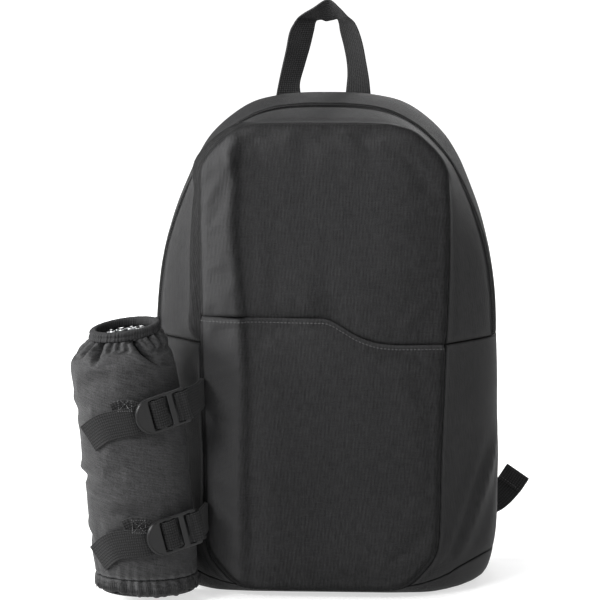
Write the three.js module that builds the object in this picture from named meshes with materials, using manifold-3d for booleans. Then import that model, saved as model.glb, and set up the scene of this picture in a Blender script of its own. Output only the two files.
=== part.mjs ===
import * as THREE from 'three';
import { mergeVertices } from 'three/addons/utils/BufferGeometryUtils.js';
import Module from 'manifold-3d';

const wasm = await Module();
wasm.setup();

// Sizes of the bag's body, in millimetres; x runs right, y runs back and z runs up from the floor
const bagHalfWidth = 153;
const bagHeight = 440;
const frontHalfWidth = 109;
const frontHeight = 418;
const backY = 76;
const crownY = 40;
const zipY = -8;
const frontLowY = -82;
const frontTopY = -64;
const bagWall = 4;
const gap = 0.3;
const seamLip = 2.4;
const frontCrown = 9;
const backPad = 4;

// Seams of the body
const sideSeamZ = 227;
const waveLowZ = 226.3;
const waveHighZ = 249.6;
const waveStartX = -6;
const waveEndX = 66;
const foldedEdge = 7;
const foldedEdgeRise = 1;
const tapeHalfWidth = 7;
const tapeThickness = 1.8;
const tapeSink = 0.7;
const coilHalfWidth = 2.4;
const coilRise = 0.6;

// Folds of the body
const creaseX = -76;
const creaseDepth = 2.2;
const creaseReach = 7;
const grooveDepth = 5.5;
const grooveLowZ = 245;
const grooveHighZ = 375;

// Webbing, used for the handle, the tails and every strap on the buckles
const webWidth = 25;
const webThickness = 1.4;

// The bottle pouch that hangs at the bag's left
const pouchRadius = 46.3;
const pouchDeepRadius = 41.5;
const pouchHeight = 234;
const pouchFootZ = 11;
const pouchFootX = -152.6;
const pouchLean = -21;
const pouchY = -88;
const pouchWall = 3.5;
const liningWall = 1;
const rimHeight = 8;
const rimRoll = 7.7;
const rimTilt = 6.7;
const hemHeight = 15;
const hemWall = 3.2;
const pouchFloor = 2.8;
const gatherCount = 9;

// Ladder locks on the pouch
const lockLength = 48;
const lockHalfWidth = 15.8;
const lockThickness = 4;
const lockTab = 14;
const lockSlot = 6;
const lockBar = 5.3;
const lockSlotWidth = 26.4;
const lockCorner = 3;

// Padded shoulder straps on the back
const strapWidth = 60;
const strapThickness = 12;
const strapBow = 38;

// Colours and finishes of the materials
const looks = {
  fabric: { color: '#2b2b2d', roughness: 0.82, metalness: 0 },
  webbing: { color: '#222224', roughness: 0.75, metalness: 0 },
  plastic: { color: '#18181a', roughness: 0.42, metalness: 0 },
  zip: { color: '#1d1d1f', roughness: 0.5, metalness: 0 },
  foil: { color: '#b9bcc0', roughness: 0.35, metalness: 0.85 },
  elastic: { color: '#1e1e20', roughness: 0.8, metalness: 0 },
};

const backpack = new THREE.Group();
backpack.name = 'cooler_backpack';

// Helpers that turn rings of points into closed surfaces and cut them
function volumeOf(geometry) {
  const p = geometry.attributes.position;
  const index = geometry.index.array;
  const a = new THREE.Vector3();
  const b = new THREE.Vector3();
  const c = new THREE.Vector3();
  let volume = 0;
  for (let i = 0; i < index.length; i += 3) {
    a.fromBufferAttribute(p, index[i]);
    b.fromBufferAttribute(p, index[i + 1]);
    c.fromBufferAttribute(p, index[i + 2]);
    volume += a.dot(b.cross(c)) / 6;
  }
  return volume;
}

function surfaceOf(positions, faces) {
  const geometry = new THREE.BufferGeometry();
  geometry.setAttribute('position', new THREE.Float32BufferAttribute(positions, 3));
  geometry.setIndex(faces);
  if (volumeOf(geometry) < 0) {
    const flipped = [];
    for (let i = 0; i < faces.length; i += 3) {
      flipped.push(faces[i], faces[i + 2], faces[i + 1]);
    }
    geometry.setIndex(flipped);
  }
  return geometry;
}

function loft(rings) {
  const around = rings[0].length;
  const positions = rings.flat().flatMap((p) => [p.x, p.y, p.z]);
  const faces = [];
  for (let r = 0; r + 1 < rings.length; r += 1) {
    for (let i = 0; i < around; i += 1) {
      const next = (i + 1) % around;
      const low = r * around;
      const high = low + around;
      faces.push(low + i, low + next, high + next, low + i, high + next, high + i);
    }
  }
  for (const [start, flip] of [[0, true], [(rings.length - 1) * around, false]]) {
    const middle = new THREE.Vector3();
    for (let i = 0; i < around; i += 1) {
      middle.x += positions[3 * (start + i)] / around;
      middle.y += positions[3 * (start + i) + 1] / around;
      middle.z += positions[3 * (start + i) + 2] / around;
    }
    const tip = positions.length / 3;
    positions.push(middle.x, middle.y, middle.z);
    for (let i = 0; i < around; i += 1) {
      const here = start + i;
      const next = start + ((i + 1) % around);
      faces.push(...(flip ? [next, here, tip] : [here, next, tip]));
    }
  }
  return surfaceOf(positions, faces);
}

function offsetSurface(geometry, distance) {
  const p = geometry.attributes.position;
  const index = geometry.index.array;
  const normals = Array.from({ length: p.count }, () => []);
  const a = new THREE.Vector3();
  const b = new THREE.Vector3();
  const c = new THREE.Vector3();
  for (let i = 0; i < index.length; i += 3) {
    a.fromBufferAttribute(p, index[i]);
    b.fromBufferAttribute(p, index[i + 1]);
    c.fromBufferAttribute(p, index[i + 2]);
    const normal = b.clone().sub(a).cross(c.clone().sub(a)).normalize();
    const corners = [[a, b, c], [b, c, a], [c, a, b]];
    corners.forEach(([at, left, right], corner) => {
      const angle = left.clone().sub(at).angleTo(right.clone().sub(at));
      normals[index[i + corner]].push([normal, angle]);
    });
  }
  const positions = [];
  for (let v = 0; v < p.count; v += 1) {
    const mean = new THREE.Vector3();
    let total = 0;
    for (const [normal, angle] of normals[v]) {
      mean.addScaledVector(normal, angle);
      total += angle;
    }
    const reach = Math.max(mean.length() / total, 0.6);
    mean.normalize();
    const moved = new THREE.Vector3().fromBufferAttribute(p, v).addScaledVector(mean, -distance / reach);
    positions.push(moved.x, moved.y, moved.z);
  }
  return surfaceOf(positions, Array.from(index));
}

function solidOf(geometry) {
  const clean = geometry.clone();
  clean.deleteAttribute('normal');
  clean.deleteAttribute('uv');
  const merged = mergeVertices(clean, 1e-4);
  return new wasm.Manifold(new wasm.Mesh({
    numProp: 3,
    vertProperties: new Float32Array(merged.attributes.position.array),
    triVerts: new Uint32Array(merged.index.array),
  }));
}

function geometryOf(solid) {
  const mesh = solid.getMesh();
  const geometry = new THREE.BufferGeometry();
  geometry.setAttribute('position', new THREE.Float32BufferAttribute(mesh.vertProperties, 3));
  geometry.setIndex(Array.from(mesh.triVerts));
  return geometry;
}

function joined(solids) {
  return solids.reduce((whole, solid) => whole.add(solid));
}

const acrossAxes = new THREE.Matrix4().makeBasis(
  new THREE.Vector3(0, 1, 0), new THREE.Vector3(0, 0, 1), new THREE.Vector3(1, 0, 0));
const deepAxes = new THREE.Matrix4().makeBasis(
  new THREE.Vector3(1, 0, 0), new THREE.Vector3(0, 0, 1), new THREE.Vector3(0, -1, 0));

function extruded(outline, from, to) {
  const shape = new THREE.Shape(outline.map(([u, v]) => new THREE.Vector2(u, v)));
  const geometry = new THREE.ExtrudeGeometry(shape, { depth: to - from, bevelEnabled: false });
  return geometry.translate(0, 0, from);
}

// An outline of y and z values carried across the bag from one x to another
function acrossBlock(outline, fromX, toX) {
  return solidOf(extruded(outline, fromX, toX).applyMatrix4(acrossAxes));
}

// An outline of x and z values carried back from one y to another
function deepBlock(outline, fromY, toY) {
  return solidOf(extruded(outline, -toY, -fromY).applyMatrix4(deepAxes));
}

// A strip of webbing along a path; each path row holds a point and the direction of its width
const flatEdges = [[1, 1], [-1, 1], [-1, -1], [1, -1]];
const softEdges = [[1, 0.55], [0.94, 1], [-0.94, 1], [-1, 0.55], [-1, -0.55], [-0.94, -1], [0.94, -1], [1, -0.55]];

function ribbon(path, width, thickness, steps, corners = flatEdges) {
  const points = new THREE.CatmullRomCurve3(path.map((row) => new THREE.Vector3(...row.at)));
  const sides = path.map((row) => new THREE.Vector3(...row.side).normalize());
  const rings = [];
  for (let i = 0; i <= steps; i += 1) {
    const share = i / steps;
    const along = share * (sides.length - 1);
    const low = Math.min(Math.floor(along), sides.length - 2);
    const wide = sides[low].clone().lerp(sides[low + 1], along - low);
    const tangent = points.getTangent(share);
    wide.addScaledVector(tangent, -wide.dot(tangent)).normalize();
    const thick = tangent.clone().cross(wide);
    const middle = points.getPoint(share);
    const halfWidth = (typeof width === 'function' ? width(share) : width) / 2;
    const halfThickness = (typeof thickness === 'function' ? thickness(share) : thickness) / 2;
    rings.push(corners.map(([u, v]) => middle.clone()
      .addScaledVector(wide, u * halfWidth)
      .addScaledVector(thick, v * halfThickness)));
  }
  return solidOf(loft(rings));
}

function addPiece(name, solid, look) {
  const material = new THREE.MeshStandardMaterial(looks[look]);
  material.name = look;
  const mesh = new THREE.Mesh(geometryOf(solid), material);
  mesh.name = name;
  backpack.add(mesh);
}

// Outline of the body at four depths, from the middle of the base up the right side to the top.
// Each pair is x then z: shares of bagHalfWidth and bagHeight, or of frontHalfWidth and frontHeight.
const bagOutline = [
  { place: 'base middle', back: [0, 0.009], crown: [0, 0], zip: [0, 0], front: [0, 0.0225] },
  { place: 'base run', back: [0.327, 0.009], crown: [0.327, 0], zip: [0.314, 0], front: [0.312, 0.0225] },
  { place: 'base edge', back: [0.65, 0.01], crown: [0.68, 0], zip: [0.68, 0], front: [0.55, 0.025] },
  { place: 'corner low', back: [0.82, 0.014], crown: [0.83, 0.002], zip: [0.81, 0.001], front: [0.67, 0.035] },
  { place: 'corner', back: [0.91, 0.034], crown: [0.925, 0.02], zip: [0.912, 0.015], front: [0.798, 0.067] },
  { place: 'corner high', back: [0.948, 0.076], crown: [0.972, 0.062], zip: [0.968, 0.055], front: [0.904, 0.108] },
  { place: 'low side', back: [0.964, 0.17], crown: [1, 0.17], zip: [0.997, 0.168], front: [0.931, 0.191] },
  { place: 'lower side', back: [0.967, 0.268], crown: [1, 0.268], zip: [0.997, 0.268], front: [0.936, 0.282] },
  { place: 'middle', back: [0.961, 0.391], crown: [0.993, 0.391], zip: [0.99, 0.389], front: [0.954, 0.404] },
  { place: 'side seam', back: [0.958, 0.514], crown: [0.987, 0.516], zip: [0.984, 0.516], front: [0.972, 0.541] },
  { place: 'above seam', back: [0.951, 0.595], crown: [0.977, 0.6], zip: [0.974, 0.598], front: [0.986, 0.627] },
  { place: 'upper side', back: [0.915, 0.682], crown: [0.941, 0.686], zip: [0.938, 0.684], front: [0.995, 0.713] },
  { place: 'high side', back: [0.859, 0.759], crown: [0.889, 0.766], zip: [0.876, 0.757], front: [1, 0.792] },
  { place: 'low shoulder', back: [0.791, 0.82], crown: [0.82, 0.83], zip: [0.804, 0.818], front: [0.998, 0.856] },
  { place: 'shoulder', back: [0.725, 0.866], crown: [0.761, 0.875], zip: [0.742, 0.859], front: [0.982, 0.909] },
  { place: 'high shoulder', back: [0.647, 0.905], crown: [0.686, 0.916], zip: [0.663, 0.895], front: [0.922, 0.937] },
  { place: 'top corner', back: [0.539, 0.941], crown: [0.575, 0.953], zip: [0.556, 0.932], front: [0.83, 0.962] },
  { place: 'top edge', back: [0.412, 0.968], crown: [0.444, 0.981], zip: [0.431, 0.959], front: [0.725, 0.984] },
  { place: 'top outer', back: [0.281, 0.983], crown: [0.307, 0.993], zip: [0.301, 0.974], front: [0.569, 0.997] },
  { place: 'top inner', back: [0.137, 0.989], crown: [0.15, 0.999], zip: [0.15, 0.98], front: [0.303, 1] },
  { place: 'top middle', back: [0, 0.991], crown: [0, 1], zip: [0, 0.981], front: [0, 1] },
];

const bagAround = 44;
const bagSteps = [0, 0.15, 0.42, 2 / 3, 0.82, 0.93, 1];
const frontSteps = [0.92, 0.79, 0.7, 0.61, 0.34];
const backSteps = [0.35, 0.8];

function frontPlaneY(z) {
  return frontLowY + ((frontTopY - frontLowY) * z) / frontHeight;
}

function outlineCurve(column, halfWidth, height) {
  const right = bagOutline.map((row) => [row[column][0] * halfWidth, row[column][1] * height]);
  const left = right.slice(1, -1).reverse().map(([x, z]) => [-x, z]);
  const points = [...right, ...left].map(([x, z]) => new THREE.Vector3(x, 0, z));
  return new THREE.CatmullRomCurve3(points, true);
}

function smoothStep(low, high, value) {
  const share = Math.min(Math.max((value - low) / (high - low), 0), 1);
  return share * share * (3 - 2 * share);
}

// How far the front panel is pressed in at its long fold, and how it sags in soft waves beside it
function frontFold(x, z) {
  const heightFade = smoothStep(0.1, 0.22, z / frontHeight) * (1 - smoothStep(0.88, 0.97, z / frontHeight));
  const valley = Math.exp(-(((x - creaseX) / creaseReach) ** 2));
  const ridge = Math.exp(-(((x - creaseX + 2.2 * creaseReach) / creaseReach) ** 2));
  return creaseDepth * heightFade * (valley - 0.35 * ridge);
}

// How far the left gusset is drawn in beside the front seam
function sideGroove(x, z, share) {
  if (x > 0) {
    return 0;
  }
  const along = smoothStep(grooveLowZ - 30, grooveLowZ + 20, z) * (1 - smoothStep(grooveHighZ - 20, grooveHighZ + 12, z));
  return grooveDepth * along * Math.exp(-(((share - 0.92) / 0.07) ** 2));
}

const depthCurves = (() => {
  const loops = {
    back: outlineCurve('back', bagHalfWidth, bagHeight),
    crown: outlineCurve('crown', bagHalfWidth, bagHeight),
    zip: outlineCurve('zip', bagHalfWidth, bagHeight),
    front: outlineCurve('front', frontHalfWidth, frontHeight),
  };
  return Array.from({ length: bagAround }, (unused, i) => {
    const at = (loop) => loop.getPoint(i / bagAround);
    const back = at(loops.back).setY(backY);
    const crown = at(loops.crown).setY(crownY);
    const zip = at(loops.zip).setY(zipY);
    const front = at(loops.front);
    front.y = frontPlaneY(front.z);
    return new THREE.CatmullRomCurve3([back, crown, zip, front]);
  });
})();

const zipShare = 2 / 3;
const bagSurface = (() => {
  const rings = [];
  const backRing = depthCurves.map((curve) => curve.getPoint(0));
  for (const share of backSteps) {
    rings.push(backRing.map((p) => new THREE.Vector3(
      p.x * share, backY + backPad * (1 - share * share), bagHeight / 2 + (p.z - bagHeight / 2) * share)));
  }
  for (const share of bagSteps) {
    rings.push(depthCurves.map((curve) => {
      const p = curve.getPoint(share);
      const zip = curve.getPoint(zipShare);
      const front = curve.getPoint(1);
      const forward = Math.max(share - zipShare, 0) / (1 - zipShare);
      const low = 1 - smoothStep(0.05, 0.3, front.z / frontHeight);
      p.z += low * (zip.z + (front.z - zip.z) * forward ** 4 - p.z) * Math.sign(forward);
      p.x += low * (zip.x + (front.x - zip.x) * forward ** 1.4 - p.x) * Math.sign(forward);
      p.x += sideGroove(p.x, p.z, share);
      p.z = Math.max(p.z, 0);
      return p;
    }));
  }
  const seamRing = depthCurves.map((curve) => curve.getPoint(1));
  for (const share of frontSteps) {
    rings.push(seamRing.map((p) => {
      const x = p.x * share;
      const z = frontHeight / 2 + (p.z - frontHeight / 2) * share;
      const y = frontPlaneY(z) - frontCrown * (1 - share * share) + frontFold(x, z);
      return new THREE.Vector3(x, y, z);
    }));
  }
  return loft(rings);
})();

function bagLayer(outerDistance, innerDistance) {
  return solidOf(offsetSurface(bagSurface, outerDistance)).subtract(solidOf(offsetSurface(bagSurface, innerDistance)));
}

// Cutting lines shared by neighbouring panels
const farX = 240;
const farZ = 560;
const lowZ = -30;
const backCutY = backY - seamLip;
const half = gap / 2;
const zipFrontY = zipY - tapeHalfWidth;
const zipRearY = zipY + tapeHalfWidth;

function frontCutY(z) {
  return frontPlaneY(z) + seamLip;
}

// Height of the seam between the base and the sides, from the front corner out to the widest point
const baseSeam = [
  { place: 'front corner', x: 0.405, z: 0.05 },
  { place: 'corner start', x: 0.435, z: 0.027 },
  { place: 'corner strip', x: 0.614, z: 0.033 },
  { place: 'corner rise', x: 0.732, z: 0.0466 },
  { place: 'corner knee', x: 0.79, z: 0.0568 },
  { place: 'side strip', x: 0.87, z: 0.0648 },
  { place: 'side', x: 0.941, z: 0.0705 },
  { place: 'widest', x: 1.5, z: 0.078 },
];

function baseLine(shift) {
  const right = baseSeam.map((row) => [row.x * bagHalfWidth, row.z * bagHeight + shift]);
  return [...right.slice().reverse().map(([x, z]) => [-x, z]), ...right];
}

// Height of the wavy seam across the front, as shares of the run from waveStartX to waveEndX
const waveSteps = [
  { along: 0, drop: 0 },
  { along: 0.15, drop: 0.04 },
  { along: 0.33, drop: 0.33 },
  { along: 0.49, drop: 0.63 },
  { along: 0.63, drop: 0.81 },
  { along: 0.77, drop: 0.93 },
  { along: 1, drop: 1 },
];

function waveLine(shift) {
  const middle = waveSteps.map((row) => new THREE.Vector2(
    waveStartX + row.along * (waveEndX - waveStartX),
    waveHighZ - row.drop * (waveHighZ - waveLowZ) + shift));
  const curve = new THREE.SplineCurve(middle);
  const points = curve.getPoints(10).map((p) => [p.x, p.y]);
  return [[-farX, waveHighZ + shift], ...points, [farX, waveLowZ + shift]];
}

// Body panels: padded fabric, each cut from one wall along its seams
const bagWallSolid = bagLayer(0, bagWall);

const rearZone = acrossBlock([
  [zipRearY + half, sideSeamZ + half],
  [backCutY - half, sideSeamZ + half],
  [backCutY - half, farZ],
  [zipRearY + half, farZ],
], -farX, farX);
addPiece('rear_gusset', bagWallSolid.intersect(rearZone), 'fabric');

const frontGussetZone = acrossBlock([
  [frontCutY(sideSeamZ) + half, sideSeamZ + half],
  [zipFrontY - half, sideSeamZ + half],
  [zipFrontY - half, farZ],
  [frontCutY(farZ) + half, farZ],
], -farX, farX);
addPiece('front_gusset', bagWallSolid.intersect(frontGussetZone), 'fabric');

const backZone = acrossBlock([
  [backCutY + half, lowZ],
  [backCutY + 60, lowZ],
  [backCutY + 60, farZ],
  [backCutY + half, farZ],
], -farX, farX);
addPiece('back_panel', bagWallSolid.intersect(backZone), 'fabric');

const frontZone = acrossBlock([
  [frontCutY(lowZ) - half, lowZ],
  [frontCutY(farZ) - half, farZ],
  [frontCutY(farZ) - 90, farZ],
  [frontCutY(lowZ) - 90, lowZ],
], -farX, farX);
const frontWall = bagWallSolid.intersect(frontZone);
const aboveWave = deepBlock([...waveLine(half), [farX, farZ], [-farX, farZ]], -160, 0);
const belowWave = deepBlock([...waveLine(-half), [farX, lowZ], [-farX, lowZ]], -160, 0);
const edgeBand = deepBlock([...waveLine(-half), ...waveLine(-half - foldedEdge).reverse()], -160, 0);
const foldedEdgeSolid = bagLayer(-foldedEdgeRise, bagWall / 2).intersect(frontZone).intersect(edgeBand);
addPiece('upper_front_panel', frontWall.intersect(aboveWave), 'fabric');
addPiece('lower_front_panel', frontWall.intersect(belowWave).add(foldedEdgeSolid), 'fabric');

const middleZone = acrossBlock([
  [frontCutY(lowZ) + half, lowZ],
  [backCutY - half, lowZ],
  [backCutY - half, sideSeamZ - half],
  [frontCutY(sideSeamZ) + half, sideSeamZ - half],
], -farX, farX);
const middleWall = bagWallSolid.intersect(middleZone);
const aboveBase = deepBlock([...baseLine(half), [farX * 1.5, farZ], [-farX * 1.5, farZ]], -160, 160);
const belowBase = deepBlock([...baseLine(-half), [farX * 1.5, lowZ], [-farX * 1.5, lowZ]], -160, 160);
const sideWalls = middleWall.intersect(aboveBase);
const rightHalf = deepBlock([[gap, lowZ], [farX, lowZ], [farX, farZ], [gap, farZ]], -160, 160);
const leftHalf = deepBlock([[-farX, lowZ], [-gap, lowZ], [-gap, farZ], [-farX, farZ]], -160, 160);
addPiece('side_panel_right', sideWalls.intersect(rightHalf), 'fabric');
addPiece('side_panel_left', sideWalls.intersect(leftHalf), 'fabric');
addPiece('base_panel', middleWall.intersect(belowBase), 'fabric');

// Zip: a tape around the arch with its closed coil standing proud along the middle
const tapeZone = acrossBlock([
  [zipFrontY + half, sideSeamZ + half],
  [zipRearY - half, sideSeamZ + half],
  [zipRearY - half, farZ],
  [zipFrontY + half, farZ],
], -farX, farX);
const coilZone = acrossBlock([
  [zipY - coilHalfWidth, sideSeamZ + half],
  [zipY + coilHalfWidth, sideSeamZ + half],
  [zipY + coilHalfWidth, farZ],
  [zipY - coilHalfWidth, farZ],
], -farX, farX);
const zipTape = bagLayer(tapeSink, tapeSink + tapeThickness).intersect(tapeZone);
const zipCoil = bagLayer(-coilRise, tapeSink + tapeThickness / 2).intersect(coilZone);
addPiece('zipper', zipTape.add(zipCoil), 'zip');

// Zip slider and its pull at the lower left end of the zip
const sliderWidth = 9;
const sliderLength = 13;
const sliderThickness = 3.2;
const sliderRise = 7.2;
const pullWidth = 5;
const pullLength = 24;
const sliderX = -bagHalfWidth * 0.987 - coilRise - gap - sliderThickness / 2;
const sliderZ = sideSeamZ + sliderRise;
const sliderBody = new THREE.BoxGeometry(sliderThickness, sliderWidth, sliderLength)
  .rotateY(THREE.MathUtils.degToRad(-0.7))
  .translate(sliderX, zipY, sliderZ);
const sliderPull = new THREE.BoxGeometry(webThickness, pullWidth, pullLength)
  .translate(sliderX - sliderThickness / 2, zipY, sliderZ - pullLength / 2);
addPiece('zipper_slider', solidOf(sliderBody).add(solidOf(sliderPull)), 'plastic');

// Grab handle: one strip of webbing, two legs with folded corners under a short bridge
const handleY = backY + backPad * 0.2 + gap + webThickness / 2;
const handleFootZ = 421;
const handleTopZ = 524;
const handleLegs = [
  { name: 'left', footX: -37.7, riseX: -35.7, bendX: -27.4, headX: -17.5, tilt: 0.32, turn: 0.3 },
  { name: 'right', footX: 26.4, riseX: 26.2, bendX: 20, headX: 9.5, tilt: -0.26, turn: -0.75 },
];
const legSolids = handleLegs.map((leg) => ribbon([
  { at: [leg.footX, handleY, handleFootZ], side: [1, 0, 0] },
  { at: [leg.footX, handleY + 0.3, handleFootZ + 16], side: [1, leg.turn * 0.1, 0] },
  { at: [leg.riseX, handleY + 3, handleFootZ + 34], side: [1, leg.turn * 0.7, -leg.tilt * 0.5] },
  { at: [leg.bendX, handleY + 6, handleFootZ + 66], side: [1, leg.turn, -leg.tilt] },
  { at: [leg.headX, handleY + 6, handleTopZ - 16], side: [1, leg.turn * 0.4, -leg.tilt * 1.2] },
], webWidth, webThickness, 9));
const bridgeOutline = [
  { along: -23.7, below: 27 },
  { along: -11.7, below: 19.5 },
  { along: -3.2, below: 22.5 },
  { along: 8.3, below: 18.5 },
  { along: 17.3, below: 24 },
  { along: 18.3, below: 17 },
  { along: 0.3, below: 0 },
  { along: -6.2, below: 0.5 },
  { along: -27.2, below: 18 },
];
const bridge = deepBlock(
  bridgeOutline.map((row) => [row.along, handleTopZ - row.below]), handleY + 5.2, handleY + 5.2 + webThickness * 1.6);
addPiece('grab_handle', joined([...legSolids, bridge]), 'webbing');

// Shoulder straps: padded, sewn at the top of the back and bowed away from it for the arms
const strapFootZ = 172;
const strapTopZ = 418;
const layer = webThickness + gap;
const backFaceY = backY + backPad + gap;
const strapSeatY = backY + backPad * 0.18 + gap + strapThickness / 4;

function mirrored(path, side) {
  return path.map((row) => ({
    at: [row.at[0] * side, row.at[1], row.at[2]],
    side: [row.side[0], row.side[1] * side, row.side[2] * side],
  }));
}

const strapPath = [
  { at: [44, strapSeatY, strapTopZ], side: [1, 0, 0.05] },
  { at: [45, strapSeatY + 1.4, strapTopZ - 9], side: [1, 0, 0.08] },
  { at: [49, backFaceY + strapBow * 0.4, strapTopZ - 28], side: [1, 0, 0.12] },
  { at: [60, backFaceY + strapBow * 0.9, strapTopZ - 74], side: [1, 0, 0.22] },
  { at: [74, backFaceY + strapBow * 1.05, strapTopZ - 138], side: [1, 0, 0.22] },
  { at: [88, backFaceY + strapBow * 0.75, strapTopZ - 196], side: [1, 0, 0.22] },
  { at: [97, backFaceY + strapBow * 0.4, strapFootZ], side: [1, 0, 0.15] },
];

function strapTaper(share) {
  return strapWidth * (0.62 + 0.38 * smoothStep(0, 0.25, share)) * (1 - 0.38 * smoothStep(0.82, 1, share));
}

function strapPadding(share) {
  return strapThickness * (0.5 + 0.5 * smoothStep(0.12, 0.34, share)) * (1 - 0.5 * smoothStep(0.88, 1, share));
}

// A plate for webbing: a rounded end to push with the thumb, then bars and slots
const tabRounding = [
  { along: 0.42, half: 0.93 },
  { along: 0.14, half: 0.74 },
  { along: 0.02, half: 0.42 },
  { along: 0, half: 0 },
];

function lockPlate(length, tab, slots) {
  const nose = tabRounding.map((row) => [row.along * tab, row.half * lockHalfWidth]);
  const outline = [
    [tab, lockHalfWidth],
    ...nose,
    ...nose.slice(0, -1).reverse().map(([along, across]) => [along, -across]),
    [tab, -lockHalfWidth],
    [length - lockCorner, -lockHalfWidth],
    [length, -lockHalfWidth + lockCorner],
    [length, lockHalfWidth - lockCorner],
    [length - lockCorner, lockHalfWidth],
  ];
  let plate = solidOf(extruded(outline, 0, lockThickness));
  for (let i = 0; i < slots; i += 1) {
    const start = tab + i * (lockSlot + lockBar);
    const slot = new THREE.BoxGeometry(lockSlot, lockSlotWidth, lockThickness * 3).translate(start + lockSlot / 2, 0, 0);
    plate = plate.subtract(solidOf(slot));
  }
  return geometryOf(plate);
}

// The frame of a buckle: its own x along the strap, y across it and z off the surface
function buckleFrame(start, along, outward) {
  const s = new THREE.Vector3(...along).normalize();
  const h = new THREE.Vector3(...outward);
  h.addScaledVector(s, -h.dot(s)).normalize();
  const w = h.clone().cross(s);
  const matrix = new THREE.Matrix4().makeBasis(s, w, h).setPosition(...start);
  const point = (alongShare, rise, shift = 0) => new THREE.Vector3(alongShare, shift, rise).applyMatrix4(matrix).toArray();
  return { matrix, point, side: w.toArray() };
}

// Back straps, their ladder locks and the tabs sewn into the lower back seam
const strapLockLength = 30;
const strapLockTab = 6;
const strapLockStart = [118.5, backFaceY + 6.2, 57];
const strapLockAlong = [0.13, 0, -1];
const tabSeat = backY + backPad * 0.1 + gap + webThickness / 2 - strapLockStart[1];
for (const [name, side] of [['right', 1], ['left', -1]]) {
  const pad = ribbon(mirrored(strapPath, side), strapTaper, strapPadding, 14, softEdges);
  addPiece(`shoulder_strap_${name}`, pad, 'fabric');

  const frame = buckleFrame(
    [strapLockStart[0] * side, strapLockStart[1], strapLockStart[2]],
    [strapLockAlong[0] * side, 0, strapLockAlong[2]], [0, 1, 0]);
  const plate = lockPlate(strapLockLength, strapLockTab, 2).applyMatrix4(frame.matrix);
  addPiece(`strap_buckle_${name}`, solidOf(plate), 'plastic');

  const row = (at) => ({ at, side: [1, 0, strapLockAlong[0] * side] });
  const top = new THREE.Vector3(99.5 * side, backFaceY + strapBow * 0.32, strapFootZ - 8).toArray();
  const strapTurn = strapLockTab + lockSlot + lockBar + lockSlot * 0.23;
  const tabTurn = strapLockTab + lockSlot + lockBar + lockSlot * 0.66;
  const tailY = strapLockStart[1] + lockThickness + 1.1 + webThickness;
  const runUp = ribbon([
    { at: top, side: [1, 0, 0.15 * side] },
    row([110 * side, backFaceY + 7, 110]),
    row(frame.point(-4, -1.3)),
    row(frame.point(strapTurn - 5, -1.1)),
    row(frame.point(strapTurn - 1.2, -0.9)),
    row(frame.point(strapTurn, lockThickness / 2)),
    row(frame.point(strapTurn - 1.2, lockThickness + 0.9)),
    row(frame.point(strapTurn - 5, lockThickness + 1.2)),
    row(frame.point(strapTurn - 13, lockThickness + 1.2)),
  ], webWidth, webThickness, 26);
  const foldedTail = ribbon(mirrored([
    { at: [110, tailY, 49], side: [0, 0, 1] },
    { at: [124, tailY, 49.3], side: [-0.05, 0, 1] },
    { at: [140, tailY + 2, 50.5], side: [-0.3, 0, 0.95] },
    { at: [155, tailY + 2.5, 56], side: [-0.6, 0, 0.8] },
    { at: [167, tailY + 1.5, 68], side: [-0.78, 0, 0.62] },
    { at: [176, tailY, 82], side: [-0.82, 0, 0.57] },
  ], side), webWidth, webThickness, 10);
  addPiece(`strap_webbing_${name}`, runUp.add(foldedTail), 'webbing');

  addPiece(`corner_tab_${name}`, ribbon([
    row(frame.point(strapLockLength + 16, tabSeat)),
    row(frame.point(strapLockLength + 11, tabSeat)),
    row(frame.point(strapLockLength + 3, -3)),
    row(frame.point(tabTurn + 4, -1.3)),
    row(frame.point(tabTurn + 1.2, -0.9)),
    row(frame.point(tabTurn, lockThickness / 2)),
    row(frame.point(tabTurn + 1.2, lockThickness + 0.9)),
    row(frame.point(strapLockLength - 1, lockThickness + 1.7)),
    row(frame.point(strapLockLength + 3, lockThickness * 0.7)),
    row(frame.point(strapLockLength + 6.5, -1.6)),
    row(frame.point(strapLockLength + 12, tabSeat + layer)),
    row(frame.point(strapLockLength + 16, tabSeat + layer)),
  ], webWidth, webThickness, 22), 'webbing');
}

// Rings of the pouch from its foot up past the mouth.
// Level is a share of pouchHeight, lean of pouchLean, wide of both radii and turn of the mouth's angles.
const pouchRings = [
  { place: 'foot', level: 0, lean: 0, wide: 0.965, turn: 0, gather: 0 },
  { place: 'hem', level: 0.035, lean: 0.04, wide: 0.99, turn: 0, gather: 0 },
  { place: 'hem seam', level: 0.066, lean: 0.08, wide: 0.965, turn: 0, gather: 0 },
  { place: 'low body', level: 0.16, lean: 0.17, wide: 0.985, turn: 0, gather: 0 },
  { place: 'strap', level: 0.3, lean: 0.32, wide: 0.99, turn: 0, gather: 0 },
  { place: 'middle', level: 0.52, lean: 0.58, wide: 1, turn: 0, gather: 0 },
  { place: 'high body', level: 0.74, lean: 0.84, wide: 1, turn: 0.15, gather: 0 },
  { place: 'shoulder', level: 0.855, lean: 0.96, wide: 0.985, turn: 0.35, gather: 0.008 },
  { place: 'shoulder bend', level: 0.885, lean: 0.98, wide: 0.93, turn: 0.55, gather: 0.02 },
  { place: 'gathers', level: 0.925, lean: 0.97, wide: 0.79, turn: 0.8, gather: 0.03 },
  { place: 'under rim', level: 0.96, lean: 0.93, wide: 0.675, turn: 1, gather: 0.012 },
  { place: 'mouth', level: 1, lean: 0.9, wide: 0.645, turn: 1, gather: 0 },
  { place: 'above mouth', level: 1.05, lean: 0.88, wide: 0.64, turn: 1, gather: 0 },
];
const pouchAround = 30;
const liningAround = 18;
const roll = THREE.MathUtils.degToRad(-rimRoll);
const tilt = THREE.MathUtils.degToRad(rimTilt);

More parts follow.
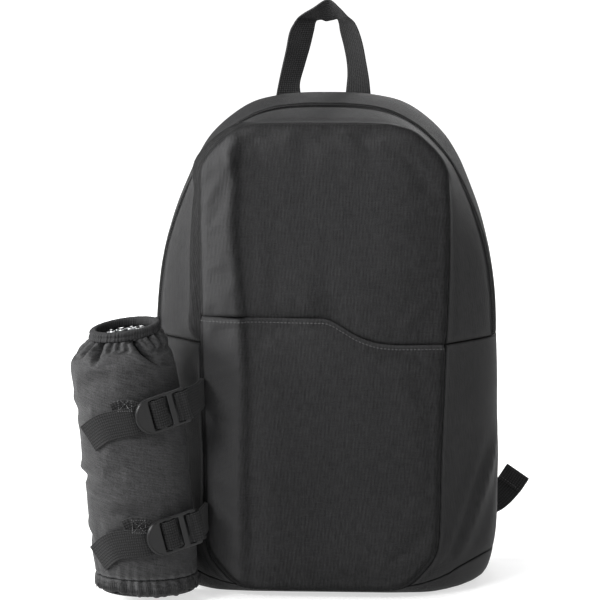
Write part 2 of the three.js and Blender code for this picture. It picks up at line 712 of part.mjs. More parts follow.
function pouchMiddle(level, lean) {
  return new THREE.Vector3(pouchFootX + pouchLean * lean, pouchY, pouchFootZ + pouchHeight * level);
}

function pouchSurface(around, gatherShare) {
  return loft(pouchRings.map((row) => {
    const turned = new THREE.Euler(tilt * row.turn, roll * row.turn, 0);
    return Array.from({ length: around }, (unused, i) => {
      const angle = (2 * Math.PI * i) / around;
      const share = row.wide + gatherShare * row.gather * Math.cos(gatherCount * angle + 1.1);
      return new THREE.Vector3(
        pouchRadius * share * Math.cos(angle), pouchDeepRadius * share * Math.sin(angle), 0)
        .applyEuler(turned).add(pouchMiddle(row.level, row.lean));
    });
  }));
}

const pouchOutside = pouchSurface(pouchAround, 1);
const liningOutside = pouchSurface(liningAround, 0);

function pouchSolid(distance) {
  return solidOf(offsetSurface(pouchOutside, distance));
}

function liningSolid(distance) {
  return solidOf(offsetSurface(liningOutside, distance));
}

// A thick slab under a plane that lies square to the mouth, at a distance below it
function mouthSlab(below, depth) {
  const mouth = pouchRings.find((row) => row.place === 'mouth');
  const slab = new THREE.BoxGeometry(200, 200, depth)
    .translate(0, 0, -below - depth / 2)
    .applyMatrix4(new THREE.Matrix4().makeRotationFromEuler(new THREE.Euler(tilt, roll, 0)));
  const middle = pouchMiddle(mouth.level, mouth.lean);
  return solidOf(slab.translate(middle.x, middle.y, middle.z));
}

function levelSlab(fromZ, toZ) {
  return solidOf(new THREE.BoxGeometry(200, 200, toZ - fromZ)
    .translate(pouchFootX + pouchLean / 2, pouchY, (fromZ + toZ) / 2));
}

const hemTopZ = pouchFootZ + hemHeight;
const liningSink = pouchWall + gap + pouchRadius * 0.03;
const underRim = mouthSlab(rimHeight + half, 300);
const aboveHem = levelSlab(hemTopZ + half, 400);
addPiece('pouch_shell',
  pouchSolid(0).subtract(pouchSolid(pouchWall)).intersect(underRim).intersect(aboveHem), 'fabric');
addPiece('pouch_lining',
  liningSolid(liningSink).subtract(liningSolid(liningSink + liningWall)).intersect(underRim), 'foil');
addPiece('pouch_rim',
  pouchSolid(-0.7).subtract(pouchSolid(pouchWall + 1)).intersect(mouthSlab(0, rimHeight - half)), 'elastic');
const baseRing = (z, inset = hemWall + gap) => Array.from({ length: pouchAround }, (unused, i) => {
  const angle = (2 * Math.PI * i) / pouchAround;
  const foot = pouchRings[0].wide;
  return new THREE.Vector3(
    pouchFootX + (pouchRadius * foot - inset) * Math.cos(angle),
    pouchY + (pouchDeepRadius * foot - inset) * Math.sin(angle), z);
});
addPiece('pouch_hem', pouchSolid(-0.3)
  .subtract(solidOf(loft([baseRing(0, hemWall), baseRing(hemTopZ, hemWall)])))
  .intersect(levelSlab(pouchFootZ, hemTopZ - half)), 'elastic');
addPiece('pouch_base',
  solidOf(loft([baseRing(pouchFootZ + gap), baseRing(pouchFootZ + gap + pouchFloor)])), 'fabric');

// Straps that hold the pouch: a ladder lock, the pouch's adjustable webbing and the bag's fixed loop
function onPouch(angleDegrees, z, lift) {
  const level = (z - pouchFootZ) / pouchHeight;
  const high = pouchRings.findIndex((row) => row.level > level);
  const low = pouchRings[high - 1];
  const top = pouchRings[high];
  const share = (level - low.level) / (top.level - low.level);
  const wide = low.wide + (top.wide - low.wide) * share;
  const lean = low.lean + (top.lean - low.lean) * share;
  const angle = THREE.MathUtils.degToRad(angleDegrees);
  const at = pouchMiddle(level, lean);
  const normal = new THREE.Vector3(Math.cos(angle) / pouchRadius, Math.sin(angle) / pouchDeepRadius, 0).normalize();
  at.x += pouchRadius * wide * Math.cos(angle);
  at.y += pouchDeepRadius * wide * Math.sin(angle);
  return at.addScaledVector(normal, lift).toArray();
}

function leftSeamAt(z) {
  const ring = depthCurves.map((curve) => curve.getPoint(1)).filter((p) => p.x < -frontHalfWidth * 0.85);
  ring.sort((a, b) => a.z - b.z);
  const high = ring.findIndex((p) => p.z > z);
  const low = ring[high - 1];
  return low.clone().lerp(ring[high], (z - low.z) / (ring[high].z - low.z));
}

const pouchStraps = [
  {
    name: 'upper', start: [-157.6, -136.2, 168.5], along: [0.88, 0.392, 0.262], sewn: [-88, 171], tail: [-133, 150],
    seamZ: 184,
  },
  {
    name: 'lower', start: [-148.6, -135.2, 62.5], along: [0.885, 0.392, 0.245], sewn: [-90, 68], tail: [-141, 43],
    seamZ: 74,
  },
];
for (const strap of pouchStraps) {
  const frame = buckleFrame(strap.start, strap.along, [0.42, -0.9, 0]);
  addPiece(`pouch_buckle_${strap.name}`, solidOf(lockPlate(lockLength, lockTab, 3).applyMatrix4(frame.matrix)), 'plastic');
  const row = (at, side = frame.side) => ({ at, side });
  const slotOne = lockTab + lockSlot / 2;
  const slotTwo = slotOne + lockSlot + lockBar;
  const slotThree = slotTwo + lockSlot + lockBar;
  const top = lockThickness + gap + webThickness / 2;
  const under = -gap - webThickness / 2;
  const sewnSide = [-0.14, 0, 0.99];
  const tailSide = [-0.33, 0, 0.94];
  const [sewnAngle, sewnZ] = strap.sewn;
  const [tailAngle, tailZ] = strap.tail;
  addPiece(`pouch_webbing_${strap.name}`, ribbon([
    row(onPouch(sewnAngle - 10, sewnZ, layer / 2 + 0.2), sewnSide),
    row(onPouch(sewnAngle, sewnZ + 3, layer / 2 + 0.4), sewnSide),
    row(frame.point(lockTab * 0.6, under - layer)),
    row(frame.point(slotOne + 4, under - layer)),
    row(frame.point(slotTwo - 1.4, under - layer * 0.7)),
    row(frame.point(slotTwo + 0.2, lockThickness / 2)),
    row(frame.point(slotTwo - 1.6, top)),
    row(frame.point(slotOne + 1.6, top)),
    row(frame.point(slotOne - 0.2, lockThickness / 2)),
    row(frame.point(slotOne - 2.2, under)),
    row(frame.point(lockTab * 0.4, under)),
    row(frame.point(-1.5, under - 0.6)),
    row(onPouch((sewnAngle + tailAngle) / 2, (sewnZ + tailZ) / 2 + 1, layer * 1.5 + 1.2), tailSide),
    row(onPouch(tailAngle, tailZ, layer + 1.5), tailSide),
  ], webWidth, webThickness, 32), 'webbing');

  const seam = leftSeamAt(strap.seamZ);
  const seamSide = leftSeamAt(strap.seamZ + webWidth / 2).sub(leftSeamAt(strap.seamZ - webWidth / 2)).toArray();
  const atSeam = (x, y, z) => row([seam.x + x, seam.y + y, seam.z + z], seamSide);
  addPiece(`bag_webbing_${strap.name}`, ribbon([
    atSeam(0.5, -gap - 1.2, 0),
    atSeam(0.2, -gap - 8, 0),
    atSeam(-2, -25, -1.6),
    row(frame.point(lockLength + 3.4, lockThickness * 0.8)),
    row(frame.point(lockLength - 0.5, top + 0.8)),
    row(frame.point(lockLength - lockBar, top)),
    row(frame.point(slotThree + 1.6, top)),
    row(frame.point(slotThree, lockThickness / 2)),
    row(frame.point(slotThree + 1.6, under)),
    row(frame.point(lockLength - lockBar, under - 0.3)),
    row(frame.point(lockLength, under - 1.1)),
    atSeam(-4.6, -25, -1.8),
    atSeam(-1.6, -gap - 8, 0),
    atSeam(-1.2, -gap - 0.3, 0),
  ], webWidth, webThickness, 26), 'webbing');
}

export default backpack;
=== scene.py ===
import math
import bmesh
import bpy
import numpy as np
from mathutils import Matrix, Vector, noise
from mathutils.geometry import delaunay_2d_cdt


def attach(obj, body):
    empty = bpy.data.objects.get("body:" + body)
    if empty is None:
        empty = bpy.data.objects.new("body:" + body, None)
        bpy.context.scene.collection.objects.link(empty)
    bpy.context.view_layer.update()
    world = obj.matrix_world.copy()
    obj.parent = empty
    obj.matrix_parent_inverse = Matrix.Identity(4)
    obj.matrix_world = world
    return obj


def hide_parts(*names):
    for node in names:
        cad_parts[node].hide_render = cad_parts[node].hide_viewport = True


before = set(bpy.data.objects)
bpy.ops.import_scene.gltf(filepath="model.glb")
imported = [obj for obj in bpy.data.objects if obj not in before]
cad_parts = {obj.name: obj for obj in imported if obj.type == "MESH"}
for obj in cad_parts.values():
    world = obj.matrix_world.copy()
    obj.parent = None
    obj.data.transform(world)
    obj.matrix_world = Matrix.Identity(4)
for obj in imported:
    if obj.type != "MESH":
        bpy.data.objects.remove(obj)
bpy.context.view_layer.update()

scene = bpy.context.scene
MM = 0.001

# Camera: it stands 2.4 m away, three degrees to the bag's right and a little above it,
# so that one millimetre at the middle of the bag is about 1.1 pixels wide in a 600 pixel frame.
camera_data = bpy.data.cameras.new("camera")
camera_data.lens = 160
camera_data.sensor_width = 36
camera = bpy.data.objects.new("camera", camera_data)
scene.collection.objects.link(camera)
camera_target = Vector((-0.0234, 0.0, 0.256))
camera_distance = 2.4
camera_turn = math.radians(3.0)
camera_rise = math.radians(7.5)
camera.location = camera_target + camera_distance * Vector((
    math.sin(camera_turn) * math.cos(camera_rise),
    -math.cos(camera_turn) * math.cos(camera_rise),
    math.sin(camera_rise)))
camera.rotation_euler = (camera_target - camera.location).to_track_quat("-Z", "Y").to_euler()
scene.camera = camera

# Floor and light: a wide floor of pale paper, large soft lights high on the left and in front of it,
# one overhead and weak ones on the right and behind, so that black cloth keeps its shape.
floor_mesh = bpy.data.meshes.new("paper_floor")
floor_half = 45
floor_mesh.from_pydata([(x * floor_half, y * floor_half, 0) for x, y in ((-1, -1), (1, -1), (1, 1), (-1, 1))],
                       [], [(0, 1, 2, 3)])
paper_floor = bpy.data.objects.new("paper_floor", floor_mesh)
scene.collection.objects.link(paper_floor)
paper = bpy.data.materials.new("paper")
paper.use_nodes = True
paper_nodes = paper.node_tree.nodes
paper_shader = paper_nodes["Principled BSDF"]
for socket, value in (("Base Color", (0.5, 0.5, 0.5, 1)), ("Roughness", 0.95), ("Specular IOR Level", 0.1),
                      ("Emission Strength", 1.0)):
    paper_shader.inputs[socket].default_value = value
# The paper glows, at 0.62 within a quarter metre of the middle rising to full white 1.4 m away, so the floor reads
# white while a shadow stays under the bag.
paper_place = paper_nodes.new("ShaderNodeTexCoord")
paper_distance = paper_nodes.new("ShaderNodeVectorMath")
paper_distance.operation = "LENGTH"
paper_glow = paper_nodes.new("ShaderNodeMapRange")
for socket, value in (("From Min", 0.25), ("From Max", 1.4), ("To Min", 0.62), ("To Max", 1.0)):
    paper_glow.inputs[socket].default_value = value
for source, target in ((paper_place.outputs["Object"], paper_distance.inputs[0]),
                       (paper_distance.outputs["Value"], paper_glow.inputs["Value"]),
                       (paper_glow.outputs["Result"], paper_shader.inputs["Emission Color"])):
    paper.node_tree.links.new(source, target)
floor_mesh.materials.append(paper)

for lamp_name, place, aim, width, watts in (
        ("front_left_softbox", (-1.45, -2.0, 1.45), (0, 0, 0.25), 0.8, 74),
        ("left_softbox", (-2.6, -0.35, 1.25), (0, 0, 0.25), 1.1, 190),
        ("back_softbox", (0.9, 2.6, 1.5), (0, 0, 0.25), 1.2, 30),
        ("top_softbox", (-0.25, -0.1, 2.5), (0, 0, 0.2), 1.3, 42),
        ("right_softbox", (2.3, -1.0, 1.0), (0, 0, 0.25), 1.3, 18)):
    lamp_data = bpy.data.lights.new(lamp_name, "AREA")
    lamp_data.shape = "SQUARE"
    lamp_data.size = width
    lamp_data.energy = watts
    lamp = bpy.data.objects.new(lamp_name, lamp_data)
    lamp.location = place
    lamp.rotation_euler = (Vector(aim) - Vector(place)).to_track_quat("-Z", "Y").to_euler()
    scene.collection.objects.link(lamp)
studio_air = bpy.data.worlds.new("studio_air")
studio_air.use_nodes = True
studio_air.node_tree.nodes["Background"].inputs["Color"].default_value = (1, 1, 1, 1)
studio_air.node_tree.nodes["Background"].inputs["Strength"].default_value = 0.25
scene.world = studio_air
scene.view_settings.view_transform = "Standard"


# Bag cloth: coarse black polyester in a plain weave, with a coated back and thin foam behind it.
# Threads are a little over a millimetre apart, so the weave shows. Edges that rub turn greyer, and the same
# per-point value also paints shade into seams, grooves, folds and gathers and light onto the front's left strip.
class Tone:
    """A value in a finish's node tree; sums of tones add the nodes that work them out."""

    def __init__(self, finish, socket):
        self.finish = finish
        self.socket = socket

    def sum_with(self, operation, *values):
        return Tone(self.finish, self.finish.node(
            "ShaderNodeMath", {"operation": operation}, dict(enumerate(values))).outputs[0])

    def __add__(self, other):
        return self.sum_with("ADD", self, other)

    def __radd__(self, other):
        return self.sum_with("ADD", other, self)

    def __sub__(self, other):
        return self.sum_with("SUBTRACT", self, other)

    def __rsub__(self, other):
        return self.sum_with("SUBTRACT", other, self)

    def __mul__(self, other):
        return self.sum_with("MULTIPLY", self, other)

    def __rmul__(self, other):
        return self.sum_with("MULTIPLY", other, self)

    def __truediv__(self, other):
        return self.sum_with("DIVIDE", self, other)

    def __abs__(self):
        return self.sum_with("ABSOLUTE", self)

    def __gt__(self, other):
        return self.sum_with("GREATER_THAN", self, other)

    def wave(self):
        return self.sum_with("SINE", self)

    def blend(self, low, high):
        return low + (high - low) * self


class Finish:
    """A material for one kind of surface, with a method that adds any node to it."""

    def __init__(self, name, roughness, sheen=0.0, sheen_roughness=0.5, specular=0.5):
        self.material = bpy.data.materials.new(name)
        self.material.use_nodes = True
        self.tree = self.material.node_tree
        self.shader = self.tree.nodes["Principled BSDF"]
        self.shader.inputs["Roughness"].default_value = roughness
        self.shader.inputs["Sheen Weight"].default_value = sheen
        self.shader.inputs["Sheen Roughness"].default_value = sheen_roughness
        self.shader.inputs["Specular IOR Level"].default_value = specular

    def feed(self, socket, value):
        if isinstance(value, Tone):
            self.tree.links.new(value.socket, socket)
        elif isinstance(value, bpy.types.NodeSocket):
            self.tree.links.new(value, socket)
        else:
            socket.default_value = value

    def node(self, kind, settings, sockets):
        made = self.tree.nodes.new(kind)
        for name, value in settings.items():
            setattr(made, name, value)
        for key, value in sockets.items():
            self.feed(made.inputs[key], value)
        return made

    def cloth_place(self):
        return self.node("ShaderNodeUVMap", {"uv_map": "cloth"}, {}).outputs["UV"]

    def object_place(self):
        return self.node("ShaderNodeTexCoord", {}, {}).outputs["Object"]

    def part(self, vector, axis):
        return Tone(self, self.node("ShaderNodeSeparateXYZ", {}, {0: vector}).outputs[axis])

    def stretched(self, vector, scale):
        return self.node("ShaderNodeMapping", {}, {"Vector": vector, "Scale": scale}).outputs[0]

    def cloudy(self, vector, scale, detail=3.0, roughness=0.55):
        return Tone(self, self.node("ShaderNodeTexNoise", {}, {
            "Vector": vector, "Scale": scale, "Detail": detail, "Roughness": roughness}).outputs[0])

    def wear_and_painted_light(self):
        return Tone(self, self.node("ShaderNodeAttribute", {"attribute_name": "wear_and_painted_light"}, {}).outputs["Fac"])

    def colour(self, amount, dark, light):
        mixed = self.node("ShaderNodeMix", {"data_type": "RGBA"}, {
            "Factor": amount, 6: (*dark, 1), 7: (*light, 1)})
        self.feed(self.shader.inputs["Base Color"], mixed.outputs[2])

    def relief(self, height, depth_mm, strength=1.0):
        bump = self.node("ShaderNodeBump", {}, {"Height": height, "Distance": depth_mm * MM, "Strength": strength})
        self.feed(self.shader.inputs["Normal"], bump.outputs[0])


def weave(finish, place, across_mm, along_mm):
    """Height of a plain weave, from 0 between the threads to 1 on top of them."""
    over = (finish.part(place, 0) * (math.pi / (across_mm * MM))).wave()
    under = (finish.part(place, 1) * (math.pi / (along_mm * MM))).wave()
    warp = abs(over) * (0.55 + 0.45 * abs(under))
    weft = abs(under) * (0.55 + 0.45 * abs(over))
    return (over * under > 0).blend(weft, warp)


def cloth_finish(name, dark, light, across_mm, along_mm, depth_mm, sheen=0.02, rib_mm=3.2, rib=0.07):
    """A woven cloth: its threads, the streaks of uneven yarn both ways, fluff, and faint slanting ribs."""
    finish = Finish(name, 0.58, sheen=sheen, sheen_roughness=0.4, specular=0.1)
    place = finish.cloth_place()
    thread = weave(finish, place, across_mm, along_mm)
    patches = finish.cloudy(finish.object_place(), 14.0)
    streaks = finish.cloudy(finish.stretched(place, (520, 95, 1)), 1.0, 2.0)
    picks = finish.cloudy(finish.stretched(place, (90, 560, 1)), 1.0, 2.0)
    fluff = finish.cloudy(place, 950.0, 2.0)
    ribs = ((finish.part(place, 0) - finish.part(place, 1) * 0.17) * (2 * math.pi / (rib_mm * MM))).wave()
    shade = 0.34 * thread + 0.8 * streaks + 0.4 * picks + 0.25 * patches + 1.15 * fluff + rib * ribs - 1.01
    finish.colour(shade + 0.35 * finish.wear_and_painted_light(), dark, light)
    finish.feed(finish.shader.inputs["Roughness"], 0.5 + 0.14 * patches)
    finish.relief(thread + 0.5 * streaks + 0.5 * fluff + 1.8 * rib * ribs, depth_mm, 0.95)
    return finish.material


bag_cloth = cloth_finish("bag_cloth", (0.0012, 0.0012, 0.0013), (0.021, 0.021, 0.0216), 1.25, 1.05, 0.28)


# Bag body: two flat faces joined by a curved wall, cut and sewn from padded cloth so that it stands by itself.
# Its outline is given at the back, at the crown, along the zip and at the front seam, from the middle of
# the base up the right side to the top, as shares of half the width and of the height.
bag_half_width = 153
bag_height = 440
front_half_width = 109
front_height = 418
back_y = 76
crown_y = 40
zip_y = -8
front_low_y = -82
front_top_y = -64
bag_wall = 4
front_crown = 9
back_crown = 4
seam_lip = 2.4
seam_gap = 0.15
bag_outline = {
    "back": [(0, .009), (.327, .009), (.65, .01), (.82, .014), (.91, .034), (.948, .076), (.964, .17), (.967, .268),
             (.961, .391), (.958, .514), (.951, .595), (.915, .682), (.859, .759), (.791, .82), (.725, .866),
             (.647, .905), (.539, .941), (.412, .968), (.281, .983), (.137, .989), (0, .991)],
    "crown": [(0, 0), (.327, 0), (.68, 0), (.83, .002), (.925, .02), (.972, .062), (1, .17), (1, .268),
              (.993, .391), (.987, .516), (.977, .6), (.941, .686), (.889, .766), (.82, .83), (.761, .875),
              (.686, .916), (.575, .953), (.444, .981), (.307, .993), (.15, .999), (0, 1)],
    "zip": [(0, 0), (.314, 0), (.68, 0), (.81, .001), (.912, .015), (.968, .055), (.997, .168), (.997, .268),
            (.99, .389), (.984, .516), (.974, .598), (.938, .684), (.876, .757), (.804, .818), (.742, .859),
            (.663, .895), (.556, .932), (.431, .959), (.301, .974), (.15, .98), (0, .981)],
    "front": [(0, .0225), (.312, .0225), (.55, .025), (.67, .035), (.798, .067), (.904, .108), (.931, .191),
              (.936, .282), (.954, .404), (.972, .541), (.986, .627), (.995, .713), (1, .792), (.998, .856),
              (.982, .909), (.922, .937), (.83, .962), (.725, .984), (.569, .997), (.303, 1), (0, 1)],
}


def smooth_line(points, shares, closed=False):
    """Points on a smooth line through the given ones, at shares of its run.

    The points may hold many lines side by side.
    """
    points = np.asarray(points, float)
    shares = np.asarray(shares, float)
    count = len(points)
    if closed:
        whole = np.concatenate([points[-1:], points, points[:2]])
        place = shares * count
    else:
        whole = np.concatenate([[2 * points[0] - points[1]], points, [2 * points[-1] - points[-2]]])
        place = shares * (count - 1)
    low = np.clip(np.floor(place).astype(int), 0, count - 1 if closed else count - 2)
    step = (place - low)[..., None]
    if points.ndim == 3:
        lines = np.arange(points.shape[1])
        a, b, c, d = (whole[low + k, lines] for k in range(4))
    else:
        a, b, c, d = (whole[low + k] for k in range(4))

    def reach(p, q):
        return np.maximum(((p - q) ** 2).sum(-1, keepdims=True), 1e-9) ** 0.25
    first, middle, last = reach(a, b), reach(b, c), reach(c, d)
    first = np.where(first < 1e-2, middle, first)
    last = np.where(last < 1e-2, middle, last)
    start = ((b - a) / first - (c - a) / (first + middle) + (c - b) / middle) * middle
    end = ((c - b) / middle - (d - b) / (middle + last) + (d - c) / last) * middle
    return b + start * step + (3 * (c - b) - 2 * start - end) * step ** 2 + (2 * (b - c) + start + end) * step ** 3


def ease(low, high, value):
    share = np.clip((value - low) / (high - low), 0, 1)
    return share * share * (3 - 2 * share)


def front_plane(z):
    return front_low_y + (front_top_y - front_low_y) * z / front_height


def outline_at(column, half_width, height, around):
    right = [(x * half_width, 0, z * height) for x, z in bag_outline[column]]
    left = [(-x, 0, z) for x, _, z in right[-2:0:-1]]
    return smooth_line(right + left, around, closed=True)


def bag_skin(around, deep):
    """Points on the bag's outside: around from the base's middle, deep from the back seam to the front seam."""
    back, crown, along_zip = (outline_at(column, bag_half_width, bag_height, around)
                              for column in ("back", "crown", "zip"))
    front = outline_at("front", front_half_width, front_height, around)
    for line, y in ((back, back_y), (crown, crown_y), (along_zip, zip_y), (front, front_plane(front[:, 2]))):
        line[:, 1] = y
    deep = np.broadcast_to(deep, (len(deep), len(around)))
    skin = smooth_line(np.stack([back, crown, along_zip, front]), deep)
    forward = np.maximum(deep - 2 / 3, 0) * 3
    low = (1 - ease(0.05, 0.3, front[:, 2] / front_height)) * (forward > 0)
    skin[..., 2] += low * (along_zip[:, 2] + (front[:, 2] - along_zip[:, 2]) * forward ** 4 - skin[..., 2])
    skin[..., 0] += low * (along_zip[:, 0] + (front[:, 0] - along_zip[:, 0]) * forward ** 1.4 - skin[..., 0])
    drawn_in = ease(215, 265, skin[..., 2]) * (1 - ease(355, 387, skin[..., 2])) * (skin[..., 0] < 0)
    skin[..., 0] += 5.5 * drawn_in * np.exp(-((deep - 0.92) / 0.07) ** 2)
    skin[..., 2] = np.maximum(skin[..., 2], 0)
    return skin


ring_count = 1440
ring_shares = np.arange(ring_count) / ring_count
deep_shares = np.linspace(0, 1, 161)
whole_skin = bag_skin(ring_shares, deep_shares[:, None])


def deep_where(fall):
    """For every place around the bag, how deep the skin is where a value that falls towards the front reaches 0."""
    return np.array([np.interp(0, -fall[:, k], deep_shares) for k in range(ring_count)])


back_seam = deep_where(whole_skin[..., 1] - (back_y - seam_lip))


def zip_line(y):
    return deep_where(whole_skin[..., 1] - y)


def stations(length, coarse, fine=(0.35, 0.8, 1.4, 2.3, 3.6)):
    """Shares of a length, close together at both ends where the cloth turns into its seam."""
    middle = np.linspace(fine[-1], length - fine[-1], max(int((length - 2 * fine[-1]) / coarse), 2) + 1)
    return np.concatenate([[0], fine[:-1], middle, [length - f for f in fine[-2::-1]], [length]]) / length


def run_of(row):
    return np.concatenate([[0], np.cumsum(np.linalg.norm(np.diff(row, axis=0), axis=1))])


def between(row, start, end, shares):
    """Points on a closed row from one place around the bag to another."""
    around = np.arange(2 * ring_count + 1) / ring_count
    twice = np.vstack([row, row, row[:1]])
    places = np.concatenate([[start], around[(around > start + 1e-6) & (around < end - 1e-6)], [end]])
    line = np.stack([np.interp(places, around, twice[:, k]) for k in range(3)], 1)
    run = run_of(line)
    return np.stack([np.interp(shares * run[-1], run, line[:, k]) for k in range(3)], 1)


def panel_rows(deep_low, deep_high, coarse, length, ends, rows_apart=4.5):
    """A grid of points between two seams; ends gives the places where each row starts and stops."""
    low_y, high_y = (bag_skin(ring_shares, deep[None])[0, :, 1] for deep in (deep_low, deep_high))
    depth = np.abs(low_y - high_y).mean()
    shares = stations(length, coarse)
    rows = []
    for share in stations(depth, rows_apart):
        row = bag_skin(ring_shares, (deep_low + (deep_high - deep_low) * share)[None])[0]
        start, end = ends(row)
        rows.append(between(row, start, end, shares))
    return np.array(rows)


side_seam_z = 227
base_seam = np.array([(.405, .05), (.435, .027), (.614, .033), (.732, .0466), (.79, .0568), (.87, .0648),
                      (.941, .0705), (1.5, .078)]) * (bag_half_width, bag_height)
half_ring = ring_count // 2


def over_seam(row, lift):
    """Places where a row passes the side seams' height, from the right side over the top to the left."""
    right = np.interp(side_seam_z + lift, row[:half_ring + 1, 2], ring_shares[:half_ring + 1])
    left = np.interp(side_seam_z + lift, row[half_ring:, 2][::-1], ring_shares[half_ring:][::-1])
    return right, left


def base_crossing(row, lift):
    height = row[:, 2] - np.interp(np.abs(row[:, 0]), base_seam[:, 0], base_seam[:, 1]) - lift
    right = int(np.argmax(height[:half_ring] > 0))
    left = ring_count - int(np.argmax(height[::-1] > 0))
    from_right = right - height[right] / (height[right] - height[right - 1])
    before, after = height[left - 1], height[left % ring_count]
    return from_right / ring_count, (left - 1 + before / (before - after)) / ring_count


def skin_normals(grid, away_from):
    across = np.gradient(grid, axis=1)
    down = np.gradient(grid, axis=0)
    normals = np.cross(across, down)
    normals /= np.maximum(np.linalg.norm(normals, axis=2, keepdims=True), 1e-9)
    facing = (normals * (grid - away_from)).sum(2)
    return normals if facing.mean() > 0 else -normals


def edge_distance(grid, closed=False):
    """How far each point of a grid is from its edges, from its first column and from its first row."""
    rows, columns = grid.shape[:2]
    steps_down, steps_across = (np.linalg.norm(np.diff(grid, axis=axis), axis=2) for axis in (0, 1))
    down = np.concatenate([np.zeros((1, columns)), np.cumsum(steps_down, 0)])
    across = np.concatenate([np.zeros((rows, 1)), np.cumsum(steps_across, 1)], 1)
    from_rows = np.minimum(down, down[-1] - down)
    from_ends = np.minimum(across, across[:, -1:] - across)
    return (from_rows if closed else np.minimum(from_rows, from_ends)), across, down


def turned_edge(distance, radius):
    """How far cloth drops where it turns into a seam."""
    near = np.clip(1 - distance / radius, 0, 1)
    return radius * (1 - np.sqrt(1 - near ** 2 + 1e-9))


def soft_lumps(points, size, seed):
    """Soft dents and swells of cloth, from -1 to 1, that depend only on where a point is."""
    offset = Vector((seed * 7.3, seed * 3.1, seed * 5.7))
    lumps = [noise.noise(Vector(p) / size + offset) for p in points.reshape(-1, 3)]
    return np.array(lumps).reshape(points.shape[:-1])


def add_piece(name, mesh, nodes):
    """A mesh in metres as a smooth object of the scene, with its frame calls."""
    mesh.shade_smooth()
    piece = bpy.data.objects.new(name, mesh)
    scene.collection.objects.link(piece)
    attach(piece, "root")
    if nodes:
        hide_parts(*nodes)
    return piece


def link_piece(name, points_mm, faces, places, wear_and_painted_light, finish, nodes):
    """A finished piece: its mesh, a cloth map in metres, its wear and painted light and shade, its finish and frame
    calls.
    """
    mesh = bpy.data.meshes.new(name)
    mesh.from_pydata((np.asarray(points_mm) * MM).tolist(), [], [tuple(int(i) for i in face) for face in faces])
    layer = mesh.uv_layers.new(name="cloth")
    corners = np.empty(len(mesh.loops), int)
    mesh.loops.foreach_get("vertex_index", corners)
    layer.data.foreach_set("uv", (np.asarray(places)[corners] * MM).ravel())
    mesh.attributes.new("wear_and_painted_light", "FLOAT", "POINT").data.foreach_set("value", np.asarray(wear_and_painted_light, float))
    mesh.materials.append(finish)
    return add_piece(name, mesh, nodes)


def sewn_pad(name, grid, normals, wall, rise, wear_and_painted_light, finish, nodes, closed=False, pole=False, places=None):
    """A padded piece: the grid's outside lifted by rise, an inside one wall below it, and closed edges."""
    rows, columns = grid.shape[:2]
    outside = grid + normals * rise[..., None]
    inside = grid - normals * wall
    points = np.concatenate([outside.reshape(-1, 3), inside.reshape(-1, 3)])
    count = rows * columns
    faces = []
    last = columns if closed else columns - 1
    for r in range(rows - 1):
        for c in range(last):
            e = (c + 1) % columns
            a, b, d, f = r * columns + c, r * columns + e, (r + 1) * columns + e, (r + 1) * columns + c
            faces.append((a, b, d, f))
            faces.append((count + a, count + f, count + d, count + b))
    for c in range(last):
        e = (c + 1) % columns
        faces.append((e, c, count + c, count + e))
        low = (rows - 1) * columns
        if pole:
            faces.append((low + c, low + e, 2 * count))
            faces.append((count + low + e, count + low + c, 2 * count + 1))
        else:
            faces.append((low + c, low + e, count + low + e, count + low + c))
    if not closed:
        for r in range(rows - 1):
            a, b = r * columns, (r + 1) * columns
            faces.append((a, b, count + b, count + a))
            faces.append((b + columns - 1, a + columns - 1, count + a + columns - 1, count + b + columns - 1))
    span = outside[:2, :2]
    facing = np.cross(span[0, 1] - span[0, 0], span[1, 0] - span[0, 0]) @ normals[0, 0]
    if facing < 0:
        faces = [face[::-1] for face in faces]
    if places is None:
        _, across, down = edge_distance(grid)
        places = np.stack([across - across[:, -1:] / 2, down], 2)
    flat = places.reshape(-1, 2)
    flat = np.concatenate([flat, flat])
    wear_and_light_values = np.concatenate([wear_and_painted_light.ravel(), wear_and_painted_light.ravel() * 0])
    if pole:
        points = np.concatenate([points, [outside[-1].mean(0), inside[-1].mean(0)]])
        flat = np.concatenate([flat, [places[-1].mean(0)] * 2])
        wear_and_light_values = np.concatenate([wear_and_light_values, [0, 0]])
    return link_piece(name, points, faces, flat, wear_and_light_values, finish, nodes)


bag_middle = np.array([0, 0, 215.0])


def body_panel(name, grid, seed, plump=0.7, lump=0.7, folds=None, shade=None):
    """One padded panel of the bag's wall, with its edges turned in and soft unevenness between its seams."""
    roll, lump_size = 1.5, 46
    normals = skin_normals(grid, bag_middle)
    distance, _, down = edge_distance(grid)
    inland = 1 - np.exp(-distance / 9)
    rise = plump * inland - turned_edge(distance, roll)
    rise += lump * inland * soft_lumps(grid, lump_size, seed)
    rise += 0.3 * np.exp(-((distance - 5) / 5) ** 2) * soft_lumps(grid, 9, seed + 3)
    if folds:
        rise += folds(grid, down[-1:] - down) * inland
    on_floor = (grid[..., 2] < 6) & (normals[..., 2] < -0.6)
    rise = np.where(on_floor, np.minimum(rise, 0), rise)
    # Wear lightens a band a few millimetres in from each seam, and painted shade darkens the seam line itself.
    wear_and_painted_light = 0.5 * np.exp(-((distance - 3.2) / 1.2) ** 2) - 1.6 * np.exp(-(distance / 1.6) ** 2)
    if shade:
        wear_and_painted_light += shade(grid, down[-1:] - down)
    across = np.broadcast_to(run_of(grid[len(grid) // 2])[None], distance.shape)
    piece = sewn_pad(name, grid, normals, bag_wall, rise, wear_and_painted_light, bag_cloth, [name],
                     places=np.stack([down, across], 2))


# Gussets: the long padded strips on each side of the zip, from one side seam over the top to the other.
# The front one rolls out beside its front seam on the left and over the upper left corner, so that a groove
# runs there, which painted shade darkens further, and is pinched into a lip at the upper right.
def left_roll(grid):
    return ease(52, 78, -grid[..., 0]) * ease(200, 250, grid[..., 2])


